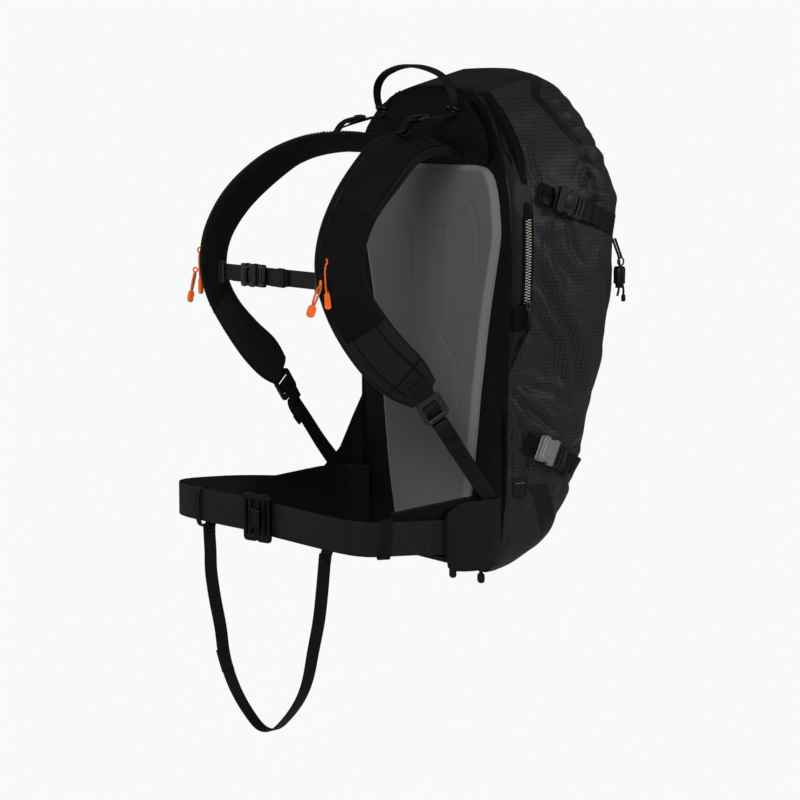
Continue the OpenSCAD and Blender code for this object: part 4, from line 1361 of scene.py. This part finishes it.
# Leg strap: distance across and height of its hanging loop, then the band round the belt
LEG = [
    (-93, 66), (-91, 34), (-90, 8), (-84, -22), (-76, -60), (-69, -95), (-52, -131), (-32, -158), (-8, -176),
    (16, -174), (38, -155), (58, -128), (72, -98), (81, -62), (89, -22), (95, 16), (99, 54),
]
OVER_BELT = [
    (-93, -276.5, 61.5), (-94, -282.5, 62.5), (-95.5, -288, 68), (-98, -289, 88), (-96, -288.3, 107),
    (-94, -285, 112.6), (-92.5, -280, 111.5), (-92, -277.5, 103),
]
LEG_W = 16


def leg_point(x, z, forward=0.0):
    """Place on the slanting plane that the leg strap hangs in."""
    return [x, -258 + 0.19 * x + forward, z]


def leg_webbing():
    """Flat webbing of the loop, a little slack and twisted along its way."""
    line = even(curve_through([[*leg_point(x, z), 0.1, 1, 0] for x, z in LEG], 8), 3)
    share = np.linspace(0, 1, len(line))
    line[:, 1] += 0.8 * np.sin(share * 31) * fade(0, 0.2, share) * fade(1, 0.8, share)
    line[:, 3] += 0.18 * np.sin(share * 9)
    obj = sweep("leg_strap_webbing", line[:, :3], line[:, 3:6], strap_outline(LEG_W, 1.9), webbing)
    fit(obj, "pack", ["leg_strap"])
    return obj, place(line[:, :3])


def leg_belt_loops():
    """Strap ends that hang over the belt, and a narrow band round it at the right end."""
    parts = []
    for x, z, tilt in ((-93, 66, -0.12), (99, 56, 0.12)):
        stations = []
        for forward, rise in ((10, 40), (9, 20), (5, 6), (1.6, -4), (1.2, -12)):
            _, y, _ = leg_point(x, z, forward)
            stations.append([[x + tilt * rise, y, z + rise], [1, 0.19, 0], LEG_W + 2])
        parts.append(strap("leg_loop", stations, 1.8, webbing, step=3))
    parts.append(strap("leg_loop", [[p, [1, 0.2, 0], 8] for p in OVER_BELT], 1.7, webbing, step=2))
    fit(join("leg_strap_belt_loops", parts), "pack")


def leg_strap():
    """Strap that hangs in a loop from the belt, with a stop tab near one end."""
    obj, path = leg_webbing()
    stations = [[leg_point(x, z, -1.8), [0.1, 1, 0], 17] for x, z in [(-70.5, -88), (-66, -100), (-60, -114)]]
    tab = strap("leg_strap_stop", stations, 2.4, webbing, step=3)
    fit(tab, "pack")
    leg_belt_loops()


leg_strap()

# ---------------------------------------------------------------- side-release buckles


def buckle_socket(name, seat, width, look):
    """Socket with open flanks; width is the webbing's."""
    half = width / 2 + 3
    notch = [
        (-24, 2 - half), (-22.5, -half), (-17, -half), (-15.6, 3 - half),
        (-7, 3 - half), (-6, -half), (0, -half),
    ]
    outline = notch + [(x, -y) for x, y in reversed(notch)]

    def shell(part, thick, bevel, lift):
        """Plate of the socket's outline, with a webbing slot."""
        slot = rounded(3, width, 1, -20.8)
        return cut_plate(f"{name}_{part}", [outline, slot], thick, bevel, look, seat @ seat_at((0, 0, lift)))

    def lump(part, size, radius, where):
        """Solid part of the socket."""
        return block(f"{name}_{part}", size, radius, look, seat @ seat_at(where))

    return join(name + "_socket", [
        shell("shell", 2.6, 0.7, 1.4),
        shell("lid", 2.8, 0.9, 7.8),
        lump("wall", (16, 6, 5), 0.6, (-9.5, half - 3.8, 4.5)),
        lump("wall", (16, 6, 5), 0.6, (-9.5, 3.8 - half, 4.5)),
        lump("crown", (12, width * 0.62, 1.6), 0.7, (-9.0, 0, 9.2)),
        lump("root", (4.6, 2 * half - 1, 8.6), 1.2, (-21.6, 0, 4.5)),
    ])


def buckle_plug(name, seat, width):
    """Plug whose two sprung arms show through the socket's flanks."""
    half = width / 2 + 3
    arm = [
        (1, half - 7), (-6, half - 5.5), (-14, half - 4.6), (-15.5, half - 2.8), (-15.2, half - 0.4),
        (-8.2, half - 0.4), (-6.4, half - 2.4), (1, half - 2.4),
    ]
    raised = seat @ seat_at((0, 0, 4.6))
    arms = [cut_plate(name + "_arm", [[(x, side * y) for x, y in arm]], 4, 0.7, black_plastic, raised)
            for side in (1, -1)]
    bridge = block(name + "_bridge", (5, 2 * half, 9), 1.4, black_plastic, seat @ seat_at((3.1, 0, 4.5)))
    slots = [rounded(4.2, width - 1, 1, 8.6), rounded(3.6, width - 1, 1, 15)]
    tail = cut_plate(name + "_tail", [rounded(15, 2 * half - 1, 2.2, 12.2), *slots], 4.4, 1.0, black_plastic,
                     seat @ seat_at((0, 0, 4.2)))
    ends = at_matrix(seat, [(19, 1 - half, 5), (19.6, 0, 5.4), (19, half - 1, 5)])
    bar = tube(name + "_bar", ends, 1.9, black_plastic)
    return join(name + "_plug", [*arms, bridge, tail, bar])


# Compression straps: height at the buckle, rear end, buckle, front end and slope
UPPER_STRAP = (455, 46, 88, 172, -19)
LOWER_STRAP = (149, 32, 68, 116, -25)
BUCKLE_STAND = 6.2    # stand of the side buckles off the bag's plain shape


def cad_side(y, z):
    """Half width of the bag's plain shape at depth y and height z."""
    rows = np.array(BAG, float)
    w, rear, front = (np.interp(z, rows[:, 0], rows[:, k]) for k in (1, 2, 3))
    u = (y - (rear + front) / 2) / ((front - rear) / 2)
    return w * (1 - u**4) ** 0.25


def compression_strap(label, height, y0, buckle_y, y1, slope, body, strap_node):
    """Webbing across the bag's side, sewn at the rear, through the buckle, with a loose tail."""
    fall = math.tan(math.radians(slope))

    def run(start, end, lift, width=SIDE_W, wave=0.0):
        """Stations along the strap's line, lifted off the cloth and bulging by wave at the middle."""
        rows = []
        for y in np.linspace(start, end, 9):
            z = height + fall * (y - buckle_y)
            bulge = wave * math.sin(math.pi * (y - start) / (end - start))
            lean = (cad_side(y, z + 10) - cad_side(y, z - 10)) / 20
            rows.append([[cad_side(min(y, 190), z) + lift + bulge, y, z], [lean, -fall, 1], width])
        return rows

    parts = [
        strap(label + "_anchor", run(y0 - 2, buckle_y - 22, 3.6), 2.0, webbing, step=3),
        strap(label + "_anchor_fold", run(y0 + 2, y0 + 17, 5.2, SIDE_W + 1), 1.6, webbing, step=3),
        strap(label + "_run", run(buckle_y + 5, y1, 3.6), 1.8, webbing, step=3),
        strap(label + "_return", run(buckle_y + 13, buckle_y + 42, 6.2, wave=1.4), 1.6, webbing, step=3),
        strap(label + "_tail_end", run(buckle_y + 38, buckle_y + 49, 7.4, SIDE_W - 1), 2.6, webbing, step=3),
    ]
    for y in y0 + 1.0 + 3.6 * np.arange(4):
        z = height + fall * (y - buckle_y)
        x = cad_side(y, z) + 6.4
        pleat = [(x, y - 4 * fall, z - 12), (x + 0.6, y, z), (x, y + 4 * fall, z + 12)]
        parts.append(tube(label + "_pleat", pleat, 1.1, webbing, sides=6))
    pair(join(f"left_{label}_strap", parts), body, [strap_node])


compression_strap("upper", *UPPER_STRAP, "front_section", "upper_compression_straps")
compression_strap("lower", *LOWER_STRAP, "pack", "lower_compression_straps")


def bag_buckles():
    """Side-release buckles of the four compression straps; the lower sockets are grey."""
    for label, sizes, body, look in (("upper", UPPER_STRAP, "front_section", black_plastic),
                                     ("lower", LOWER_STRAP, "pack", grey_plastic)):
        height, _, y, _, slope = sizes
        turn = math.radians(slope)
        where = (cad_side(y, height) + BUCKLE_STAND, y, height)
        seat = axes(where, (0, math.cos(turn), math.sin(turn)), (0, -math.sin(turn), math.cos(turn)))
        socket = buckle_socket("left_" + label, seat, SIDE_W, look)
        pair(socket, body, [label + "_buckle_females"])
        plug = buckle_plug("left_" + label, seat, SIDE_W)
        pair(plug, f"{label}_left_plug", [f"{label}_left_buckle_male"])


bag_buckles()

# ---------------------------------------------------------------- sternum strap

# Chest strap: height, depth, half length and the place of its buckle
STERNUM_Z, STERNUM_Y, STERNUM_HALF, STERNUM_BUCKLE_X = 373, -246, 108, -22


def sternum_strap():
    """Chest webbing between the pads, with a buckle, a slider at each end and a whistle."""
    def run(name, x0, x1, thick, dy=0.0, width=STRAP_W, sag=0.0, look=webbing):
        """Level strap from x0 to x1, dy off the main run and hanging by sag at its middle."""
        rows = []
        for x in np.linspace(x0, x1, 9):
            z = STERNUM_Z - sag * math.sin(math.pi * (x - x0) / (x1 - x0))
            rows.append([[x, STERNUM_Y + dy, z], [0, 0, 1], width])
        return strap("sternum_" + name, rows, thick, look, step=3)

    parts = [
        run("far", -STERNUM_HALF, STERNUM_BUCKLE_X - 21, 1.8),
        run("near", STERNUM_BUCKLE_X + 9, STERNUM_HALF, 1.8),
        run("near_return", STERNUM_BUCKLE_X + 15, 40, 1.6, -3.2, sag=1.5),
        run("elastic_loop", 24, 36, 2.2, -4.6, STRAP_W + 3, look=elastic),
        run("far_return", -74, STERNUM_BUCKLE_X - 24, 1.6, -3.0),
    ]
    for side in (-1, 1):
        seat = seat_at((side * (STERNUM_HALF - 7), STERNUM_Y - 1.5, STERNUM_Z), x=90)
        outlines = [rounded(12, 26, 2.5), rounded(4, 20, 1)]
        parts.append(cut_plate("sternum_slider", outlines, 4, 1, black_plastic, seat))
    fit(join("sternum_strap_webbing", parts), "sternum_strap", ["sternum_webbing"])
    seat = axes((STERNUM_BUCKLE_X, STERNUM_Y - 1.4, STERNUM_Z), (1, 0, 0), (0, 0, 1))
    socket = buckle_socket("sternum", seat, STRAP_W, black_plastic)
    fit(socket, "sternum_strap", ["sternum_buckle_female"])
    fit(buckle_plug("sternum", seat, STRAP_W), "sternum_plug", ["sternum_buckle_male"])
    x, y, z = -33, STERNUM_Y - 12.2, STERNUM_Z
    barrel = [(x, y, z + 9), (x, y - 0.6, z), (x, y, z - 9)]
    whistle = tube("sternum_whistle", barrel, 2.6, black_plastic, sides=12)
    fit(whistle, "sternum_strap")


sternum_strap()

# ---------------------------------------------------------------- zips, piping and sewn details

ZIP_LOW, ZIP_SHOWN = 322, 438         # heights of the zip's foot and of the top of its bare stretch
# Line of the covered zip, as distance from the rear corner and height
ZIP_TO_CROWN = [(ZIP_A, ZIP_SHOWN - 4), (ZIP_A, 505), (21, 545), (14, 572), (8, 588)]


def offset_line(places, shift):
    """The same line of cloth places, moved forward by shift."""
    return [(a + shift, z) for a, z in places]


def seam_lines():
    """Piping and flap edges along the bag's seams."""
    back_edge = [(-0.5, z) for z in (6, 90, 250, 400, 500, 560, 588)]
    welt("back_piping", back_edge, 2.1, smooth_cloth, "pack", lift=0.2)
    gusset_edge = [(12, 330), (12, 505), (10, 545), (6, 572), (3, 586)]
    welt("gusset_seam", gusset_edge, 0.9, smooth_cloth, "pack", lift=0.3)
    flap_edge = offset_line([(ZIP_A, 318), *ZIP_TO_CROWN[:-1]], 8)
    welt("zip_flap_edge", flap_edge, 0.9, smooth_cloth, "front_section")
    welt("zip_flap_rear", offset_line(ZIP_TO_CROWN, -5.5), 0.8, smooth_cloth, "pack")
    welt("garage_flap", SEAMS[0], 1.0, smooth_cloth, "pack", lift=0.5)


def zip_strip(name, places, width, lift, material, body):
    """Flat tape laid along a line of cloth places on both sides."""
    rows = []
    for a, z in places:
        here, _ = on_bag(a, z, lift)
        forward = bag_point(a + 2, z) - bag_point(a - 2, z)
        rows.append([here, forward / np.linalg.norm(forward), width])
    pair(strap("left_" + name, rows, 0.9, material), body)


def zip_teeth():
    """Two meshed rows of teeth on a dark tape; each tooth is a short rod with narrower ends."""
    sides = 6
    rings = ((-2.1, 0.4), (-1.4, 0.8), (1.4, 0.8), (2.1, 0.4))
    verts, faces = [], []
    for k, z in enumerate(np.arange(ZIP_LOW + 8, ZIP_SHOWN, 1.7)):
        here, out = on_bag(ZIP_A + (2.1 if k % 2 else -2.1), z, 2.6)
        forward = np.array([0.0, 1.0, 0.0])
        forward -= out * np.dot(forward, out)
        up = np.cross(out, forward)
        base = len(verts)
        for reach, size in rings:
            for angle in np.linspace(0, 2 * math.pi, sides, endpoint=False):
                verts.append(here + forward * reach + (out * math.cos(angle) + up * math.sin(angle)) * size)
        for first in range(base, len(verts) - sides, sides):
            faces += [[first + j, first + sides + j, first + sides + (j + 1) % sides, first + (j + 1) % sides]
                      for j in range(sides)]
        faces.append(list(range(base, base + sides)))
        faces.append(list(range(len(verts) - sides, len(verts)))[::-1])
    verts = np.array(verts)
    coil = Finish("zip_coil_look", tone(176, 171, 160), 0.45, specular=0.4).material
    teeth = add_mesh("left_zip_teeth", verts, faces, coil, uv=verts[:, 1:] / 1000)
    pair(teeth, "pack", ["main_zip"])


def zip_garages():
    """Folded cloth at each zip's foot that the slider parks in."""
    for label, shift in (("a", -5), ("b", 0), ("c", 5)):
        folds = [on_bag(17 + shift, z, 4.0)[0] for z in (307, 316, 325, 332)]
        ridge = tube("left_garage_fold_" + label, folds, [1.2, 1.9, 1.7, 0.8], smooth_cloth, sides=8)
        pair(ridge, "pack")
    stations = [[on_bag(17, z, 2.4)[0], [0, 1, 0], 27] for z in (304, 312, 322, 334)]
    pair(strap("left_zip_garage", stations, 3.4, smooth_cloth, step=3), "pack")


def zips():
    """Main zip on both sides: tape, teeth where it shows, and the rain flap over the rest."""
    seam_lines()
    zip_strip("zip_tape", [(ZIP_A, z) for z in (316, 350, 400, 440)], 14, 1.3, smooth_cloth, "pack")
    zip_strip("zip_rain_flap", ZIP_TO_CROWN, 10, 2.1, smooth_cloth, "pack")
    zip_teeth()
    zip_garages()


zips()


def zip_sliders():
    """Slider body, the bridge on it and its tab, at the foot of each zip."""
    x, y = cad_side(ZIP_A, ZIP_LOW) + 6, 24.2
    body = block("left_slider_body", (3.6, 9, 12), 1.1, dark_metal, seat_at((x, y, ZIP_LOW + 12)))
    arch = [(x + 1, y, ZIP_LOW + 16), (x + 3.2, y, ZIP_LOW + 13), (x + 2, y, ZIP_LOW + 8)]
    bridge = tube("slider_bridge", arch, 1.0, dark_metal, sides=8)
    tab = block("slider_tab", (1.8, 5, 20), 0.8, black_plastic, seat_at((x + 2, y, ZIP_LOW)))
    pair(join("left_slider", [body, bridge, tab]), "left_zip_slider", ["left_zip_slider"])


zip_sliders()


def sewn_label():
    """Small plain label on the side, with a dark and an ochre row of stitches and no writing."""
    stations = [[on_bag(a, 111, 1.6)[0], [0, 0.05, 1], 24] for a in (11, 18, 26, 33)]
    fit(strap("side_label", stations, 1.0, panel_cloth, step=3), "pack")
    ochre = Finish("label_thread_look", tone(170, 110, 40), 0.7).material
    for k, (z, look) in enumerate(((106, thread), (116, ochre))):
        points = [on_bag(a, z, 2.4)[0] for a in np.linspace(14, 30, 8)]
        row = stitches(f"side_label_thread_{k}", points, look, pitch=3.2, radius=0.45)
        fit(row, "pack")


sewn_label()

# ---------------------------------------------------------------- pulls

# Turns a plate drawn in X and Y so that it stands in Y and Z
UPRIGHT_PLATE = Matrix.Rotation(math.radians(90), 4, "Y") @ Matrix.Rotation(math.radians(90), 4, "Z")


def zip_pull(name, seat, hang, outlines, look, cord_look, cord_radius):
    """Cord loop through an eye, with a flat moulded end; hang is the end's place below the seat."""
    ring = [(3 * math.cos(a), 0, 3 * math.sin(a)) for a in np.linspace(0, 2 * math.pi, 13)]
    eye = tube(name + "_eye", at_matrix(seat, ring), 1.0, look, step=1.2, sides=8, smooth_steps=2)
    sideways, down = hang
    strands = []
    for s in (-1, 1):
        line = [(0, 0.3 * s, -2), (0, sideways * 0.25 + 1.9 * s, down * 0.3),
                (0, sideways * 0.7 + 1.8 * s, down * 0.7), (0, sideways + 0.9 * s, down)]
        strands.append(tube(name + "_cord", at_matrix(seat, line), cord_radius, cord_look, step=1.5, sides=8))
    hanging = seat_at((0, sideways, down)) @ Matrix.Rotation(math.atan2(sideways, -down), 4, "X")
    end = cut_plate(name + "_end", outlines, 4, 1.2, look, seat @ hanging @ UPRIGHT_PLATE)
    return join(name, [eye, *strands, end])


def pull_end(width, height, holed=False):
    """Outline of a pull's moulded end, with a finger hole if holed."""
    outlines = [rounded(width, height, width * 0.4, 0, -height / 2)]
    if holed:
        outlines.append(rounded(width * 0.42, height * 0.42, width * 0.2, 0, -height * 0.6))
    return outlines


def all_pulls():
    """Orange pulls on both shoulder pads, and two black ones under the base."""
    for label, at, hang, end in (("upper", (131.5, -259.2, 398), (1, -36), pull_end(5, 17)),
                                 ("lower", (130.3, -266.7, 374), (-9, -26), pull_end(7.5, 12, True))):
        name = f"left_pull_{label}"
        pull = zip_pull(name + "_loop", seat_at(at, z=PAD_TURN), hang, end, orange_plastic, orange_cord, 1.3)
        pair(pull, name, [name])
    turn = math.degrees(math.atan2(8, 46)) - 90
    for k, (x, y) in enumerate([(26, 14), (72, 22)]):
        seat = seat_at((x, y, -4.4), z=turn)
        pull = zip_pull(f"bottom_pull_{k}", seat, (0, -4.5), pull_end(8, 11), black_plastic, webbing, 0.9)
        fit(pull, "bottom_zip_pulls", ["bottom_zip_pulls"] if k == 0 else [])


all_pulls()

# ---------------------------------------------------------------- front cord and its lock

LOCK_SPOT = (136, 193, 362)
FRONT_CORD = [[128, 187.5, 408], [131.5, 190.5, 395], [135, 192.5, 384], [136, 193, 373.4]]


def turned(name, profile, origin, material, sides=28):
    """Solid of revolution about the vertical; profile is radius and height."""
    angle = np.linspace(0, 2 * math.pi, sides + 1)
    points = np.array([np.stack([r * np.cos(angle), r * np.sin(angle), np.full(sides + 1, z)], 1)
                       for r, z in profile]) + np.array(origin, float)
    flat = points.reshape(-1, 3)
    faces = [f[::-1] for f in grid_faces(*points.shape[:2])]
    return add_mesh(name, flat, faces, material, uv=flat[:, :2] / 1000)


def front_cord():
    """Elastic cord from the bag's front down into its lock."""
    points = np.array(FRONT_CORD, float)
    cord = tube("front_bungee", points, 1.5, elastic, step=1.5, smooth_steps=12)
    fit(cord, "front_section", ["bungee_loop"])
    return points


def cord_lock():
    """Sprung cord lock, the cord through it with its ring, and the two knotted tails."""
    profile = [(5.2, -10.8), (6.6, -11), (7.5, -9.6), (7.2, -4), (7.5, 2), (7.3, 8), (6.2, 10.8), (0.5, 11)]
    shell = turned("cord_lock_body", profile, LOCK_SPOT, black_plastic)
    fit(shell, "front_section", ["cord_lock"])
    outer = front_cord()[:3] + (1.6, 3.2, 0)
    x, y, z = LOCK_SPOT
    circle = [(x + 1, y + 1 + 5 * math.cos(t), z + 17 + 5 * math.sin(t))
              for t in np.linspace(0, 2 * math.pi, 13)]
    parts = [
        tube("front_bungee_return", outer, 1.5, elastic, step=1.5),
        tube("front_cord_ring", circle, 1.1, dark_metal, step=1.2, sides=8),
    ]
    for dy in (-3.5, 2.5):
        tail = [(x + 2, y + dy, z - 9), (x + 4, y + 1.3 * dy, z - 17), (x + 3, y + 1.8 * dy, z - 26)]
        parts.append(tube("front_cord_tail", tail, 1.4, elastic, step=1.5, sides=8))
    parts.append(block("front_cord_knob", (5, 5, 9), 1.8, black_plastic, seat_at((x + 3, y + 4.5, z - 29))))
    fit(join("front_cord_return", parts), "front_section")


cord_lock()

# ---------------------------------------------------------------- folded airbag

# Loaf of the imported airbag: height, half width, rear reach, front reach
AIRBAG = [
    [506, 98, 33, 147], [512, 102, 26, 156], [520, 105, 23, 162], [536, 101, 23, 154],
    [550, 95, 23, 146], [564, 84, 26, 136], [575, 73, 28, 128], [582, 60, 40, 116],
]


def airbag():
    """Packed airbag: a soft loaf of cloth in close flat folds."""
    points = loaf(AIRBAG, 6, 121, 0.55, 0.55)
    flat = points.reshape(-1, 3)
    centre = flat.mean(axis=0)
    pleat = np.sin(flat[:, 2] / 2.4 + 0.6 * bumpy(flat, 30, 11))
    flat = centre + (flat - centre) * (1 - 0.012 * (1 + pleat) - 0.012 * (1 + bumpy(flat, 18, 12)))[:, None]
    cloth = soft_cloth("airbag_look", tone(214, 84, 30), sheen=0.2)
    obj = add_mesh("folded_airbag", flat, closed_faces(*points.shape[:2]), cloth, uv=flat[:, [0, 2]] / 1000)
    fit(obj, "pack", ["airbag"])


airbag()

# ---------------------------------------------------------------- looks of the parts shown as packed

NODE_LOOKS = {
    "frame_sheet": black_plastic, "frame_stays": aluminium, "blower_housing": black_plastic,
    "impeller": grey_plastic, "motor": steel, "power_case": black_plastic, "power_button": grey_plastic,
    "trigger_cable": black_plastic, "trigger_handle": orange_plastic, "outlet_duct": black_plastic,
    "capacitors": black_plastic, "control_board": grey_plastic, "battery_cells": steel,
    "cord_lock_button": black_plastic,
}
for node_name, look in NODE_LOOKS.items():
    packed = frame["nodes"][node_name]
    packed.data.materials.clear()
    packed.data.materials.append(look)

# ---------------------------------------------------------------- floor, light and camera

PALE = tone(248, 249, 251)          # background and floor as the camera sees them
FLOOR_SHADE = tone(225, 226, 228)   # floor as the light from it sees it
AMBIENT = 0.07                      # world light on the object, as a share of the pale background
FLOOR_Z, FLOOR_HALF = -0.62, 9      # height and half width of the floor, in metres
# Lights: name, place, size and power
LIGHTS = [
    ("key", (1.9, -2.1, 1.3), 1.2, 64), ("fill", (-1.9, -2.1, 0.6), 2.0, 24),
    ("side", (2.2, 1.9, 0.9), 1.0, 30), ("top", (0.1, 0.4, 2.4), 1.2, 6),
]
LIT_PLACE = Vector((0, 0.05, 0))    # what every light points at
# Camera: direction and distance from what it looks at, and its lens
AZIMUTH, ELEVATION, DISTANCE, LENS = math.radians(52), math.radians(7.6), 2.825, 100.8
LOOKED_AT = Vector((-0.0246, -0.0225, -0.062))


def link_new(name, data):
    """New object in the scene that holds the given data."""
    obj = bpy.data.objects.new(name, data)
    bpy.context.collection.objects.link(obj)
    return obj


def pale_world():
    """Pale background to the camera, and a faint even light on the object."""
    world = bpy.data.worlds.new("studio_world")
    world.use_nodes = True
    tree = world.node_tree
    background = tree.nodes["Background"]
    background.inputs[0].default_value = PALE
    ray = tree.nodes.new("ShaderNodeLightPath")
    strength = tree.nodes.new("ShaderNodeMapRange")
    strength.inputs["To Min"].default_value = AMBIENT
    tree.links.new(ray.outputs["Is Camera Ray"], strength.inputs["Value"])
    tree.links.new(strength.outputs[0], background.inputs[1])
    bpy.context.scene.world = world


def pale_floor():
    """Plain floor that looks as pale as the background."""
    look = bpy.data.materials.new("floor_look")
    look.use_nodes = True
    tree = look.node_tree
    tree.nodes.clear()
    glow = tree.nodes.new("ShaderNodeEmission")
    glow.inputs[0].default_value = PALE
    matt = tree.nodes.new("ShaderNodeBsdfDiffuse")
    matt.inputs[0].default_value = FLOOR_SHADE
    seen = tree.nodes.new("ShaderNodeLightPath")
    mix = tree.nodes.new("ShaderNodeMixShader")
    output = tree.nodes.new("ShaderNodeOutputMaterial")
    tree.links.new(seen.outputs["Is Camera Ray"], mix.inputs[0])
    tree.links.new(matt.outputs[0], mix.inputs[1])
    tree.links.new(glow.outputs[0], mix.inputs[2])
    tree.links.new(mix.outputs[0], output.inputs[0])
    mesh = bpy.data.meshes.new("floor")
    corners = [(FLOOR_HALF * x, FLOOR_HALF * y, FLOOR_Z) for x, y in ((-1, -1), (1, -1), (1, 1), (-1, 1))]
    mesh.from_pydata(corners, [], [(0, 1, 2, 3)])
    mesh.materials.append(look)
    link_new("floor", mesh)


def soft_lights():
    """Area lights round the object."""
    for name, where, size, power in LIGHTS:
        data = bpy.data.lights.new(name, "AREA")
        data.size = size
        data.energy = power
        lamp = link_new(name, data)
        lamp.location = where
        lamp.rotation_euler = (LIT_PLACE - Vector(where)).to_track_quat("-Z", "Y").to_euler()


def studio():
    """Plain pale floor and world, soft lights, and the camera at the object's three-quarter view."""
    scene = bpy.context.scene
    scene.view_settings.view_transform = "Standard"
    pale_world()
    pale_floor()
    soft_lights()
    level = math.cos(ELEVATION)
    back = Vector((math.sin(AZIMUTH) * level, -math.cos(AZIMUTH) * level, math.sin(ELEVATION)))
    data = bpy.data.cameras.new("camera")
    data.lens = LENS
    camera = link_new("camera", data)
    camera.location = LOOKED_AT + back * DISTANCE
    camera.rotation_euler = back.to_track_quat("Z", "Y").to_euler()
    scene.camera = camera


studio()
